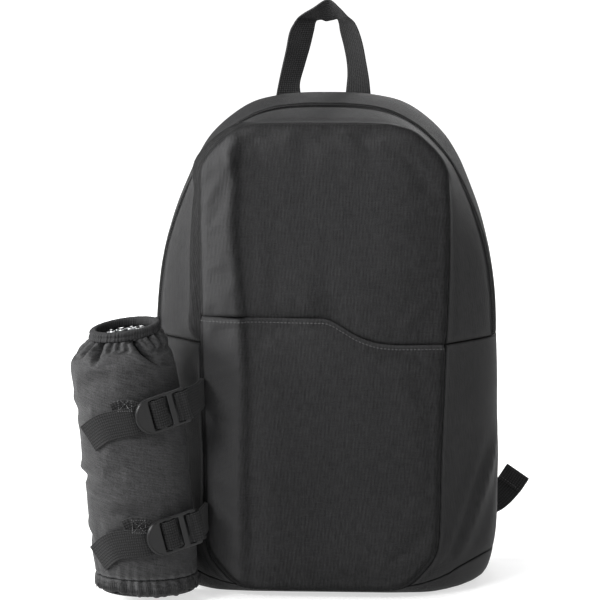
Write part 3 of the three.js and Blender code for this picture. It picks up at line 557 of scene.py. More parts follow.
def beside_front(grid, from_front):
    x, z = grid[..., 0], grid[..., 2]
    left = left_roll(grid)
    arch = ease(392, 424, z)
    lip = ease(66, 80, x) * ease(364, 376, z)
    seam_fold = 1.0 * np.exp(-((from_front - 2.6) / 1.3) ** 2) - 1.1 * np.exp(-((from_front - 8) / 4) ** 2)
    roll = ease(0, 8 - 3 * arch, from_front) * np.exp(-(from_front - 8).clip(0) / (14 - 9 * arch))
    pinch = np.exp(-((from_front - 3) / 1.7) ** 2) - np.exp(-((from_front - 7.5) / 2.0) ** 2)
    return (1 - left) * seam_fold + (12 - 5 * arch) * left * roll + 2.4 * lip * pinch


# Painted shade that darkens the groove beside the front seam on the left.
def groove_shade(grid, from_front):
    return -1.5 * left_roll(grid) * np.exp(-((from_front - 5) / 5) ** 2)


tape_half = 7
rear_zip_edge = zip_line(zip_y + tape_half + seam_gap)
front_zip_edge = zip_line(zip_y - tape_half - seam_gap)
back_edge = zip_line(back_y - seam_lip - seam_gap)
front_edge = deep_where(whole_skin[..., 1] - front_plane(whole_skin[..., 2]) - seam_lip - seam_gap)
rear_gusset_grid = panel_rows(back_edge, rear_zip_edge, 4.5, 680, lambda row: over_seam(row, seam_gap))
body_panel("rear_gusset", rear_gusset_grid, seed=2)
front_gusset_grid = panel_rows(front_zip_edge, front_edge, 4.5, 640, lambda row: over_seam(row, seam_gap))
body_panel("front_gusset", front_gusset_grid, seed=5, folds=beside_front, shade=groove_shade)


# Side panels: the lower sides of the bag, sewn to the gussets above and to the base below.
def right_side(row):
    return base_crossing(row, seam_gap)[0], over_seam(row, -seam_gap)[0]


def left_side(row):
    return over_seam(row, -seam_gap)[1], base_crossing(row, seam_gap)[1]


# Folds that the corner tab drags into the right side: each one's y at mid height, lean, half width and height
drag_z = 118
drags = [(-14, 0.5, 4.5, 2.0), (-27, 0.45, 5, -1.5), (-38, 0.42, 5, 1.5), (4, 0.5, 6, -1.3)]


def dragged_folds(grid, from_front):
    y, z = grid[..., 1], grid[..., 2]
    low = ease(22, 50, z) * (1 - ease(110, 150, z))
    fold = beside_front(grid, from_front)
    for start, lean, width, height in drags:
        fold = fold + height * low * np.exp(-((y - start + lean * (drag_z - z)) / width) ** 2)
    return fold


side_right_grid = panel_rows(back_edge, front_edge, 4.0, 200, right_side, 4.0)
body_panel("side_panel_right", side_right_grid, seed=8, lump=1.1, folds=dragged_folds)
side_left_grid = panel_rows(back_edge, front_edge, 4.0, 200, left_side, 4.0)
body_panel("side_panel_left", side_left_grid, seed=11, lump=1.1, folds=beside_front)


# Base: the padded bottom, which turns up a little at both sides and at the front.
def across_base(row):
    right, left = base_crossing(row, -seam_gap)
    return left, right + 1


base_grid = panel_rows(back_edge, front_edge, 4.5, 280, across_base)
body_panel("base_panel", base_grid, seed=14, plump=0.3, lump=0.3)

# Back panel: the flat padded face against the wearer, one cloth over foam, sewn all round into the back seam.
# It is made as rings that close in on its middle, and its edge turns forward into the gussets.
back_rings = []
back_start = bag_skin(ring_shares[::6], (back_seam - seam_gap / (back_y - crown_y))[None, ::6])[0]
back_edge_line = bag_skin(ring_shares[::6], np.zeros((1, 1)))[0]
back_middle = np.array([0, 0, bag_height / 2])
for share in np.linspace(0, 1, 4)[:3]:
    back_rings.append(back_start + (back_edge_line - back_start) * share)
for share in np.concatenate([[1, 0.992, 0.98, 0.96, 0.93], np.linspace(0.89, 0.06, 26)]):
    ring = back_edge_line * (share, 1, share) + back_middle * (1 - share, 0, 1 - share)
    ring[:, 1] = back_y + back_crown * (1 - share * share)
    back_rings.append(ring)
back_grid = np.array(back_rings)
back_normals = skin_normals(back_grid, bag_middle)
back_distance = edge_distance(back_grid, closed=True)[0]
from_back_edge = np.linalg.norm(back_grid - back_edge_line, axis=2)
back_rise = 0.9 * (1 - np.exp(-from_back_edge / 12)) * (back_grid[..., 1] > back_y - 0.2)
back_rise += 0.9 * soft_lumps(back_grid, 52, 17) * (1 - np.exp(-back_distance / 10))
back_places = np.stack([back_grid[..., 0], back_grid[..., 2]], 2)
back_panel = sewn_pad("back_panel", back_grid, back_normals, bag_wall * 0.8, back_rise,
                      np.exp(-((back_distance - 3) / 1.6) ** 2), bag_cloth, ["back_panel"],
                      closed=True, pole=True, places=back_places)


# Front panels: one face of padded cloth in two parts. The lower part laps over the upper one along a wavy
# seam, where its edge is folded under and topstitched, and a long soft fold runs down near the left seam.
wave_start, wave_end, wave_high, wave_low = -6, 66, 249.6, 226.3
wave_steps = [(0, 0), (.15, .04), (.33, .33), (.49, .63), (.63, .81), (.77, .93), (1, 1)]
wave_curve = smooth_line([(wave_start + along * (wave_end - wave_start), wave_high - drop * (wave_high - wave_low))
                          for along, drop in wave_steps], np.linspace(0, 1, 60))
beyond_front = 240
wave_x = np.concatenate([[-beyond_front], wave_curve[:, 0], [beyond_front]])
wave_z = np.concatenate([[wave_high], wave_curve[:, 1], [wave_low]])
front_middle_z = front_height / 2
front_ring = bag_skin(ring_shares[::4], np.ones((1, 1)))[0]
front_skirt = bag_skin(ring_shares[::4], deep_where(
    whole_skin[..., 1] - front_plane(whole_skin[..., 2]) - seam_lip + seam_gap)[None, ::4])[0]
ring_angles = np.arctan2(front_ring[:, 2] - front_middle_z, front_ring[:, 0])
ring_order = np.argsort(ring_angles)
ring_radii = np.hypot(front_ring[:, 2] - front_middle_z, front_ring[:, 0])
crease_z = [0, 20, 100, 197, 267, 328, 353, 371, 380, 388, 402, 414]
crease_x = [-66, -67, -68, -67.2, -71.6, -76.9, -76, -75.1, -78.4, -75.5, -73.4, -77]
folded_edge = 7
folded_rise = 1.0
folded_lap = 0.8
seam_dip = 0.9
front_pad = 3.4
# The main fold's section: how far beside the crease, and how far in from the face (out of it where less than 0)
main_fold = smooth_line([(-44, .4), (-36, -.3), (-22, -2.8), (-10, -5.0), (-3, -5.8), (0, -5.2), (2.6, -2.2),
                         (5.2, .5), (10, 1.5), (26, .8), (46, 0)], np.linspace(0, 1, 160))
# Soft folds: the middle's x and z, how it leans, its half width and half height, and its depth
soft_folds = [
    (-80, 388, -.28, 3.2, 15, -3.0), (-72.5, 394, -.17, 3.6, 14, 2.6), (-65, 396, -.3, 4.5, 14, -1.6),
    (-96, 380, .35, 6, 20, 1.3), (-92, 330, .1, 5, 40, .5), (-58, 285, .03, 6, 42, -.9),
    (-41, 280, .08, 8, 42, .9), (-14, 268, -.16, 8, 30, -1.1), (7, 272, -.1, 8, 34, .8),
    (2, 392, .05, 12, 22, -.7), (-20, 395, .1, 9, 20, .6), (-36, 350, -.06, 9, 40, -.5),
    (28, 330, .12, 16, 60, .5), (60, 300, -.1, 18, 60, -.4), (92, 370, .6, 9, 22, .9),
    (-50, 170, .02, 5, 55, -.7), (-20, 190, -.08, 14, 50, .5), (40, 120, .1, 20, 60, -.4),
    (-84, 130, .2, 8, 40, .6), (85, 60, .8, 12, 30, .7)]
# Folds that run across the left strip: the middle's x and z, how they slope, half width, half height and depth
cross_folds = [(-99, 255, 0, 8, 4.5, 1.6), (-92, 165, 0.4, 15, 4, 1.2), (-86, 95, -0.3, 15, 5, 0.9)]


def front_face(x, z, relief=True):
    share = np.hypot(x, z - front_middle_z) / np.interp(
        np.arctan2(z - front_middle_z, x), ring_angles[ring_order], ring_radii[ring_order], period=2 * math.pi)
    share = np.minimum(share, 1)
    y = front_plane(z) - front_crown * (1 - share ** 2)
    if relief:
        inner = 1 - ease(0.94, 1.0, share)
        beside = x - np.interp(z, crease_z, crease_x)
        y += ease(6, 60, z) * inner * np.interp(beside, main_fold[:, 0], main_fold[:, 1])
        for middle_x, middle_z, lean, wide, high, deep in soft_folds + cross_folds:
            off = (x - middle_x - lean * (z - middle_z)) / wide
            y += inner * deep * np.exp(-off ** 2 - ((z - middle_z) / high) ** 2)
    return y


def wave_height(x):
    return np.interp(x, wave_x, wave_z)


def settle(piece, free, pressure, spare, most_mm):
    """Blow a pad up with a little spare cloth, held at its seams and its back, so that it wrinkles as cloth does."""
    mesh = piece.data
    before = np.empty(len(mesh.vertices) * 3)
    mesh.vertices.foreach_get("co", before)
    sewn = piece.vertex_groups.new(name="sewn")
    sewn.add([int(i) for i in np.nonzero(~free)[0]], 1.0, "REPLACE")
    filling = piece.modifiers.new("filling", "CLOTH")
    cloth = filling.settings
    cloth.quality = 4
    cloth.mass = 0.1
    cloth.tension_stiffness = 12
    cloth.compression_stiffness = 12
    cloth.shear_stiffness = 5
    cloth.bending_stiffness = 0.3
    cloth.use_pressure = True
    cloth.uniform_pressure_force = pressure
    cloth.effector_weights.gravity = 0
    cloth.vertex_group_mass = "sewn"
    cloth.shrink_min = -spare
    filling.collision_settings.use_collision = False
    first_frame, last_frame = 1, 20
    filling.point_cache.frame_start = first_frame
    filling.point_cache.frame_end = last_frame
    for number in range(first_frame, last_frame + 1):
        scene.frame_set(number)
    settled = piece.evaluated_get(bpy.context.evaluated_depsgraph_get())
    after = np.empty(len(mesh.vertices) * 3)
    settled.data.vertices.foreach_get("co", after)
    moved = (after - before).reshape(-1, 3)
    length = np.linalg.norm(moved, axis=1, keepdims=True)
    most = most_mm * MM
    moved *= most * np.tanh(length / most) / np.maximum(length, 1e-9)
    print(piece.name, "settled by", round(float(length.max() / MM), 2), "mm at most")
    piece.modifiers.remove(filling)
    piece.vertex_groups.remove(sewn)
    mesh.vertices.foreach_set("co", (before.reshape(-1, 3) + moved).ravel())
    mesh.update()
    scene.frame_set(first_frame)


def front_part(name, above, seed):
    """The front's part above or below the wavy seam: a padded sheet of triangles with a skirt into its seams."""
    lift = seam_gap if above else folded_lap
    over = front_ring[:, 2] - wave_height(front_ring[:, 0]) - lift
    kept = over > 0 if above else over < 0
    first = int(np.nonzero(kept & ~np.roll(kept, 1))[0][0])
    order = (first + np.arange(kept.sum())) % len(front_ring)
    ring, skirt = front_ring[order], front_skirt[order]
    seam_x = np.linspace(ring[-1, 0], ring[0, 0], 84)
    seam_z = wave_height(seam_x) + lift
    seam_y = front_face(seam_x, seam_z, relief=False)
    edge = np.concatenate([ring[1:-1, [0, 2]], np.stack([seam_x, seam_z], 1)])
    skirt = np.concatenate([skirt[1:-1], np.stack([seam_x, seam_y + (seam_lip if above else 0.6), seam_z], 1)])
    along = np.roll(edge, -1, 0) - np.roll(edge, 1, 0)
    outward = np.stack([along[:, 1], -along[:, 0]], 1)
    outward /= np.linalg.norm(outward, axis=1, keepdims=True)
    rim = edge - 1.8 * outward
    spacing = 3.2
    rows = np.arange(edge[:, 1].min(), edge[:, 1].max(), spacing * 0.866)
    grid = np.array([(x + (k % 2) * spacing / 2, z) for k, z in enumerate(rows)
                     for x in np.arange(edge[:, 0].min(), edge[:, 0].max(), spacing)])
    far = np.sqrt(((grid[:, None] - rim[None]) ** 2).sum(2)).min(1)
    grid = grid[far > 2.0]
    count = len(rim)
    flat, _, faces, origins, _, _ = delaunay_2d_cdt(
        [Vector(p) for p in np.concatenate([rim, grid])], [(i, (i + 1) % count) for i in range(count)], [], 1, 1e-5)
    flat = np.array([tuple(p) for p in flat])
    seat = {source: here for here, sources in enumerate(origins) for source in sources}
    border = np.array([seat[i] for i in range(count)])
    distance = np.sqrt(((flat[:, None] - edge[None]) ** 2).sum(2)).min(1)
    rise = 1.0 * (1 - np.exp(-(distance - 1.8).clip(0) / 8))
    lumps = np.array([noise.noise(Vector((x / 34, z / 95, seed)))
                      + 0.6 * noise.noise(Vector((x / 16, z / 30, seed + 9))) for x, z in flat])
    rise += 0.75 * (1 - np.exp(-distance / 14)) * lumps

    def ripples(length):
        return np.array([noise.noise(Vector((x / length, seed, 0))) for x in flat[:, 0]])
    below_seam = wave_height(flat[:, 0]) - flat[:, 1]
    by_wave = np.exp(-below_seam.clip(0) / 3) * (not above)
    rise -= seam_dip * np.exp(-(distance - 1.8).clip(0) / 2.6) * (1 - by_wave)
    if not above:
        rise += folded_rise * (1 - ease(folded_edge - 0.9, folded_edge + 0.5, below_seam))
        rise -= 0.4 * np.exp(-((below_seam - 3.1) / 0.9) ** 2)
        rise += 0.25 * np.exp(-((below_seam - 3) / 5) ** 2) * ripples(5)
    else:
        rise += 0.5 * np.exp(-((below_seam + 8) / 6) ** 2) * ripples(7)
    outside = np.stack([flat[:, 0], front_face(flat[:, 0], flat[:, 1]) - rise, flat[:, 1]], 1)
    middle = flat.mean(0)
    inner = middle + (flat - middle) * 0.97
    inner_y = front_face(flat[:, 0], flat[:, 1], relief=False) + front_pad
    inside = np.stack([inner[:, 0], inner_y, inner[:, 1]], 1)
    edge_by_wave = np.exp(-(wave_height(edge[:, 0]) - edge[:, 1]).clip(0) / 3) * (not above)
    raised = folded_rise * edge_by_wave - seam_dip * (1 - edge_by_wave)
    loops = []
    edge_y = front_face(edge[:, 0], edge[:, 1], relief=False)
    for inset, back in ((0.8, 0.3), (0.15, 1.15)):
        line = edge - inset * outward
        loops.append(np.stack([line[:, 0], edge_y + back - raised, line[:, 1]], 1))
    loops.append(skirt)
    total = len(flat)
    points = np.concatenate([outside, inside, *loops])
    triangles = [tuple(face) for face in faces] + [tuple(total + i for i in face[::-1]) for face in faces]
    chain = [border] + [2 * total + k * count + np.arange(count) for k in range(3)] + [total + border]
    for ring, outer in zip(chain[:-1], chain[1:]):
        for i in range(count):
            j = (i + 1) % count
            triangles.append((ring[i], outer[i], outer[j], ring[j]))
    places = np.concatenate([flat, flat, edge - 0.8 * outward, edge + 0.4 * outward, edge + 1.8 * outward])
    beside = flat[:, 0] - np.interp(flat[:, 1], crease_z, crease_x)
    # Painted light on the left strip beyond the crease, stronger below z 235 where the pouch's shadow falls on it and
    # weaker near the base, with a little painted light just right of the crease and on the upper part's far left.
    sheen = (1.5 + 1.5 * ease(300, 235, flat[:, 1]) - 1.2 * ease(120, 0, flat[:, 1])) * (1 - ease(-9, -1, beside))
    sheen += 0.5 * ease(3, 7, beside) * (1 - ease(9, 34, beside)) + 0.4 * (1 - ease(-26, -14, beside)) * above
    # Lighter along the folded edge by the wavy seam, and painted shade along the other seams.
    edge_tone_and_seam_shade = np.exp(-((distance - 1.8) / 1.3) ** 2) * (0.9 * by_wave - 0.7 * (1 - by_wave))
    # The edge loops get the same: lighter by the wavy seam, painted shade into the other seams.
    wear_and_painted_light = np.concatenate([sheen + edge_tone_and_seam_shade, np.zeros(total),
                          np.tile(0.9 * edge_by_wave - 0.9 * (1 - edge_by_wave), 2), np.zeros(count)])
    piece = link_piece(name, points, triangles, places, wear_and_painted_light, bag_cloth, [name])
    free = np.zeros(len(points), bool)
    free[:total] = distance > 3.2
    settle(piece, free, 2.5, 0.012, 2.2)
    return piece


front_part("upper_front_panel", True, 21)
lower_front = front_part("lower_front_panel", False, 22)

# Zip: two narrow tapes around the top and the sides, with a closed coil between them.
zip_cloth = cloth_finish("zip_cloth", (0.0008, 0.0008, 0.0009), (0.006, 0.006, 0.0064), 0.9, 0.9, 0.12, sheen=0.01)
zip_coil_finish = Finish("zip_coil", 0.55, specular=0.1)
coil_marks = zip_coil_finish.cloudy(zip_coil_finish.object_place(), 900.0)
zip_coil_finish.colour(coil_marks, (0.003, 0.003, 0.0033), (0.016, 0.016, 0.0165))
zip_coil_finish.relief(coil_marks, 0.05)
tape_rear = zip_line(zip_y + tape_half - seam_gap)
tape_front = zip_line(zip_y - tape_half + seam_gap)
tape_grid = panel_rows(tape_rear, tape_front, 3.0, 640, lambda row: over_seam(row, seam_gap), 1.4)
tape_normals = skin_normals(tape_grid, bag_middle)
tape_distance, _, tape_down = edge_distance(tape_grid)
tape_middle = np.abs(tape_down - tape_down[-1:] / 2)
tape_rise = -1.1 - 0.25 * turned_edge(tape_distance, 0.8) + 0.5 * np.exp(-(tape_middle / 2.6) ** 4)
sewn_pad("zipper", tape_grid, tape_normals, 2.5, tape_rise, tape_distance * 0, zip_cloth, ["zipper"])


# Zip coil and stitches: what repeats along a line is set out by one tree of geometry nodes.
# Each row follows lines that lie on the cloth and turns every stitch or tooth to the cloth's face.
def row_tree():
    tree = bpy.data.node_groups.new("sewn_row", "GeometryNodeTree")
    face = tree.interface
    face.new_socket("Lines", in_out="INPUT", socket_type="NodeSocketGeometry")
    for name, value in (("Pitch", 0.003), ("Long", 0.0022), ("Wide", 0.0006), ("High", 0.0005)):
        face.new_socket(name, in_out="INPUT", socket_type="NodeSocketFloat").default_value = value
    face.new_socket("Finish", in_out="INPUT", socket_type="NodeSocketMaterial")
    face.new_socket("Row", in_out="OUTPUT", socket_type="NodeSocketGeometry")

    def add(kind, settings=None, links=None):
        made = tree.nodes.new(kind)
        for name, value in (settings or {}).items():
            setattr(made, name, value)
        for key, value in (links or {}).items():
            if isinstance(value, bpy.types.NodeSocket):
                tree.links.new(value, made.inputs[key])
            else:
                made.inputs[key].default_value = value
        return made
    start = add("NodeGroupInput")
    curve = add("GeometryNodeMeshToCurve", None, {"Mesh": start.outputs["Lines"]})
    points = add("GeometryNodeCurveToPoints", {"mode": "LENGTH"}, {
        "Curve": curve.outputs["Curve"], "Length": start.outputs["Pitch"]})
    outward = add("GeometryNodeInputNamedAttribute", {"data_type": "FLOAT_VECTOR"}, {"Name": "outward"})
    along = add("FunctionNodeAlignRotationToVector", {"axis": "X"}, {"Vector": points.outputs["Tangent"]})
    facing = add("FunctionNodeAlignRotationToVector", {"axis": "Z", "pivot_axis": "X"}, {
        "Rotation": along.outputs["Rotation"], "Vector": outward.outputs["Attribute"]})
    bead = add("GeometryNodeMeshUVSphere", None, {"Segments": 6, "Rings": 5, "Radius": 0.5})
    size = add("ShaderNodeCombineXYZ", None, {
        "X": start.outputs["Long"], "Y": start.outputs["Wide"], "Z": start.outputs["High"]})
    shaped = add("GeometryNodeTransform", None, {"Geometry": bead.outputs["Mesh"], "Scale": size.outputs["Vector"]})
    placed = add("GeometryNodeInstanceOnPoints", None, {
        "Points": points.outputs["Points"], "Instance": shaped.outputs["Geometry"],
        "Rotation": facing.outputs["Rotation"]})
    real = add("GeometryNodeRealizeInstances", None, {"Geometry": placed.outputs["Instances"]})
    dressed = add("GeometryNodeSetMaterial", None, {
        "Geometry": real.outputs["Geometry"], "Material": start.outputs["Finish"]})
    add("NodeGroupOutput", None, {"Row": dressed.outputs["Geometry"]})
    return tree


sewn_row = row_tree()


def sewn_line(name, lines, pitch, long, wide, high, finish):
    """Stitches, teeth or ribs along lines of (points, outward directions), all in millimetres."""
    points, edges, outward = [], [], []
    for line, out in lines:
        first = len(points)
        points += (np.asarray(line) * MM).tolist()
        outward += np.asarray(out).tolist()
        edges += [(first + i, first + i + 1) for i in range(len(line) - 1)]
    mesh = bpy.data.meshes.new(name + "_lines")
    mesh.from_pydata(points, edges, [])
    mesh.attributes.new("outward", "FLOAT_VECTOR", "POINT").data.foreach_set("vector", np.ravel(outward))
    holder = bpy.data.objects.new(name + "_lines", mesh)
    scene.collection.objects.link(holder)
    rows = holder.modifiers.new("row", "NODES")
    rows.node_group = sewn_row
    sockets = {item.name: item.identifier for item in sewn_row.interface.items_tree if item.in_out == "INPUT"}
    for key, value in (("Pitch", pitch), ("Long", long), ("Wide", wide), ("High", high)):
        rows[sockets[key]] = value * MM
    rows[sockets["Finish"]] = finish
    made = bpy.data.meshes.new_from_object(holder.evaluated_get(bpy.context.evaluated_depsgraph_get()))
    bpy.data.objects.remove(holder)
    made.name = name
    return add_piece(name, made, [])


thread_finish = Finish("thread", 0.6, sheen=0.1)
thread_twist = thread_finish.cloudy(thread_finish.object_place(), 1500.0)
thread_finish.colour(thread_twist, (0.012, 0.012, 0.0125), (0.044, 0.044, 0.045))
thread_finish.relief(thread_twist, 0.05)


def coil_side(shift):
    """Half of the coil: a line beside the zip's middle, lifted to where its teeth stand."""
    middle = zip_line(zip_y + shift)
    row = bag_skin(ring_shares, middle[None])[0]
    start, end = over_seam(row, 1.0)
    line = between(row, start, end, np.linspace(0, 1, 460))
    return line, np.cross(np.gradient(line, axis=0), (0, 1, 0))


coil_lines = []
for shift in (-0.95, 0.95):
    coil_line, coil_out = coil_side(shift)
    coil_out /= np.linalg.norm(coil_out, axis=1, keepdims=True)
    coil_out *= np.sign((coil_out * (coil_line - bag_middle)).sum(1).mean())
    coil_lines.append((coil_line + coil_out * 0.3, coil_out))
sewn_line("zip_teeth", coil_lines, 1.9, 1.15, 2.5, 1.6, zip_coil_finish.material)
for side_name, tape_row in (("rear", 4), ("front", len(tape_grid) - 5)):
    row_out = tape_normals[tape_row]
    sewn_line(f"zip_stitches_{side_name}", [(tape_grid[tape_row] - 0.95 * row_out, row_out)],
              3.0, 2.3, 0.5, 0.4, thread_finish.material)

# The folded edge of the lower front panel has one row of stitches, three millimetres below it.
edge_x = np.linspace(-106, 106, 260)
edge_z = wave_height(edge_x) - 3.1
edge_y = front_face(edge_x, edge_z) - 1.0 - folded_rise + 0.25


def on_cloth(piece, line, away, lift):
    """Drop a line's points onto a finished piece and lift them a little off it."""
    surface = piece.evaluated_get(bpy.context.evaluated_depsgraph_get())
    points, outward = [], []
    for point in line:
        start = Vector(point) * MM + Vector(away) * 0.02
        found, place, normal, _ = surface.ray_cast(start, -Vector(away), distance=0.05)
        if found:
            points.append(np.array(place) / MM + np.array(normal) * lift)
            outward.append(np.array(normal))
    return np.array(points), np.array(outward)


edge_line = on_cloth(lower_front, np.stack([edge_x, edge_y, edge_z], 1), (0, -1, 0), 0.05)
sewn_line("folded_edge_stitches", [edge_line], 3.3, 2.3, 0.8, 0.6, thread_finish.material)


# Grab handle: one length of 25 mm webbing sewn into the top of the back, drawn up to a peak and creased there.
# Its two edges are given as lines from the left foot over the peak to the right foot.
def webbing_finish(name, dark, light, across_mm, along_mm, depth_mm):
    finish = Finish(name, 0.72, sheen=0.03, specular=0.1)
    place = finish.cloth_place()
    thread = weave(finish, place, across_mm, along_mm)
    wear = finish.cloudy(finish.object_place(), 60.0)
    fluff = finish.cloudy(place, 1100.0, 2.0)
    finish.colour(0.95 * thread + 0.3 * wear + 0.6 * fluff - 0.5 + 0.35 * finish.wear_and_painted_light(), dark, light)
    finish.feed(finish.shader.inputs["Roughness"], 0.62 + 0.16 * fluff)
    finish.relief(thread + 0.3 * fluff, depth_mm, 0.9)
    return finish.material


webbing = webbing_finish("webbing", (0.0012, 0.0012, 0.0013), (0.026, 0.026, 0.0265), 2.4, 1.9, 0.4)
web_width = 25
web_thickness = 1.4
handle_outer = [
    (-50.2, 77.8, 421), (-50.1, 78, 431), (-46.6, 78.6, 450.5), (-40.7, 79, 476.2), (-36.8, 79, 494.5),
    (-33.4, 79.5, 500.9), (-28.5, 80, 507.3), (-15.7, 81.5, 515.6), (-1.9, 86.5, 523.4), (8.3, 82.5, 515.9),
    (16.1, 80, 508), (21.3, 78.5, 503.8), (25, 77.6, 497.6), (29.4, 77, 484.7), (33.2, 76.8, 465.9),
    (36, 77, 449.9), (37.6, 77.4, 436.2), (38.9, 77.8, 421)]
handle_inner = [
    (-25.2, 77.8, 421), (-26.4, 79, 434), (-27.6, 82, 446), (-23.6, 86, 462), (-18.4, 88.5, 480.5),
    (-15.1, 89, 494.3), (-12.6, 89, 503.6), (-8.6, 88.6, 504.6), (-4.1, 89.5, 503.1), (1.2, 90, 504.2),
    (6.2, 89.6, 505.4), (7.7, 89.6, 501.5), (8.8, 90, 494.3), (12.2, 90, 480.8), (14.9, 88, 467),
    (15.8, 85, 455), (14.6, 80, 438.2), (13.9, 77.8, 421)]
handle_shares = np.linspace(0, 1, 170)
handle_far = smooth_line(handle_outer, handle_shares)
handle_near = smooth_line(handle_inner, handle_shares)
handle_across = np.array([0, .015, .04, .1, .2, .35, .5, .65, .8, .9, .96, .985, 1])
handle_share = handle_across[None, :, None]
handle_grid = handle_far[:, None] * (1 - handle_share) + handle_near[:, None] * handle_share
handle_bow = np.sin(math.pi * handle_across)[None] * (
    1.6 * np.exp(-((handle_shares - 0.33) / 0.05) ** 2) - 1.4 * np.exp(-((handle_shares - 0.62) / 0.05) ** 2))[:, None]
handle_grid[..., 1] += handle_bow
handle_normals = skin_normals(handle_grid, np.array([0, 400.0, 470]))
handle_edge, handle_cross, handle_run = edge_distance(handle_grid)
# The bridge lies folded over the tops of both legs; a painted shadow darkens each leg just below its fold.
handle_x, handle_z = handle_grid[..., 0], handle_grid[..., 2]
below_fold = np.where(handle_x < 0, 506.6 - 0.13 * (handle_x + 24), 505 + 0.3 * (handle_x - 6.5)) - handle_z
fold_shade = np.exp(-below_fold.clip(0) / 3.5) * ease(-0.8, 0.3, below_fold) * ease(6.5, 8.5, np.abs(handle_x + 1))
handle_side = np.minimum(handle_cross, handle_cross[:, -1:] - handle_cross)
handle = sewn_pad(
    "grab_handle", handle_grid, handle_normals, web_thickness / 2,
    web_thickness / 2 - 0.9 * turned_edge(handle_side, 0.6),
    np.exp(-(handle_edge / 0.9) ** 2) - 1.6 * fold_shade, webbing, ["grab_handle"],
    places=np.stack([handle_across[None] * web_width + 0 * handle_run, handle_run], 2))

# Each leg of the handle is held by two rows of stitches at its foot.
foot_lines = []
for low, high in ((-48.5, -27.5), (16, 37)):
    for z in (424.5, 434):
        foot_lines.append(on_cloth(handle, [(x, 84, z) for x in np.linspace(low, high, 16)], (0, 1, 0), 0.05))
sewn_line("handle_stitches", [line for line in foot_lines if len(line[0]) > 2],
          2.8, 2.0, 0.7, 0.5, thread_finish.material)


# Webbing straps: flat strips that follow a path, each point with the direction of the strip's width.
def strip(path, width, steps, across=handle_across):
    """A strip's grid, the way it faces and its cloth map, along a path of points and sideways directions."""
    points = smooth_line([row[0] for row in path], np.linspace(0, 1, steps))
    sides = np.array([np.array(row[1], float) / np.linalg.norm(row[1]) for row in path])
    place = np.linspace(0, len(path) - 1, steps)
    low = np.minimum(place.astype(int), len(path) - 2)
    wide = sides[low] + (sides[low + 1] - sides[low]) * (place - low)[:, None]
    tangent = np.gradient(points, axis=0)
    tangent /= np.linalg.norm(tangent, axis=1, keepdims=True)
    wide -= tangent * (wide * tangent).sum(1, keepdims=True)
    wide /= np.linalg.norm(wide, axis=1, keepdims=True)
    width = np.broadcast_to(width, (steps,))
    grid = points[:, None] + wide[:, None] * ((across[None] - 0.5) * width[:, None])[..., None]
    normals = np.repeat(np.cross(tangent, wide)[:, None], len(across), 1)
    run = run_of(points)
    places = np.stack([across[None] * width[:, None], np.repeat(run[:, None], len(across), 1)], 2)
    return grid, normals, places


def web_strip(name, path, steps, nodes, finish=webbing):
    grid, normals, places = strip(path, web_width, steps)
    across = places[..., 0]
    edge = np.minimum(across, web_width - across)
    rise = web_thickness / 2 - 0.9 * turned_edge(edge, 0.6)
    return sewn_pad(name, grid, normals, web_thickness / 2, rise, np.exp(-(edge / 0.9) ** 2),
                    finish, nodes, places=places)


# Shoulder straps: foam pads in the bag's cloth, sewn flat under the handle and bowed out for the arms,
# with a bound edge all round. Each narrows towards its ends.
strap_width = 60
strap_thickness = 12
strap_bow = 38
strap_foot_z = 172
strap_top_z = 418
back_face_y = back_y + back_crown + 0.3
strap_seat_y = back_y + back_crown * 0.18 + 0.3 + strap_thickness / 4
strap_path = [
    ((44, strap_seat_y, strap_top_z), (1, 0, .05)),
    ((45, strap_seat_y + 1.4, strap_top_z - 9), (1, 0, .08)),
    ((49, back_face_y + strap_bow * .4, strap_top_z - 28), (1, 0, .12)),
    ((60, back_face_y + strap_bow * .9, strap_top_z - 74), (1, 0, .22)),
    ((74, back_face_y + strap_bow * 1.05, strap_top_z - 138), (1, 0, .22)),
    ((88, back_face_y + strap_bow * .75, strap_top_z - 196), (1, 0, .22)),
    ((97, back_face_y + strap_bow * .4, strap_foot_z), (1, 0, .15))]


def mirrored(path, side):
    return [((at[0] * side, at[1], at[2]), (across[0], across[1] * side, across[2] * side)) for at, across in path]


def band_places(around_mm, along_mm):
    """The cloth map of a band: a value for each point of a ring beside a value for each ring."""
    return np.stack(np.meshgrid(around_mm, along_mm), 2)


def closed_band(name, sections, places, wear_and_painted_light, finish, nodes, loop=False):
    """A closed skin over rings of points; loop joins the last ring to the first."""
    rows, around = sections.shape[:2]
    points = sections.reshape(-1, 3)
    faces = []
    for r in range(rows if loop else rows - 1):
        s = (r + 1) % rows
        for k in range(around):
            e = (k + 1) % around
            faces.append((r * around + k, r * around + e, s * around + e, s * around + k))
    flat, wear_and_light_values = places.reshape(-1, 2), wear_and_painted_light.ravel()
    if not loop:
        points = np.concatenate([points, [sections[0].mean(0), sections[-1].mean(0)]])
        flat = np.concatenate([flat, [places[0].mean(0), places[-1].mean(0)]])
        wear_and_light_values = np.concatenate([wear_and_light_values, [0, 0]])
        for k in range(around):
            e = (k + 1) % around
            faces.append((e, k, len(points) - 2))
            low = (rows - 1) * around
            faces.append((low + k, low + e, len(points) - 1))
    corners = points[[faces[0][0], faces[0][1], faces[0][2]]]
    normal = np.cross(corners[1] - corners[0], corners[2] - corners[0])
    if normal @ (corners.mean(0) - sections[0].mean(0)) < 0:
        faces = [face[::-1] for face in faces]
    return link_piece(name, points, faces, flat, wear_and_light_values, finish, nodes)


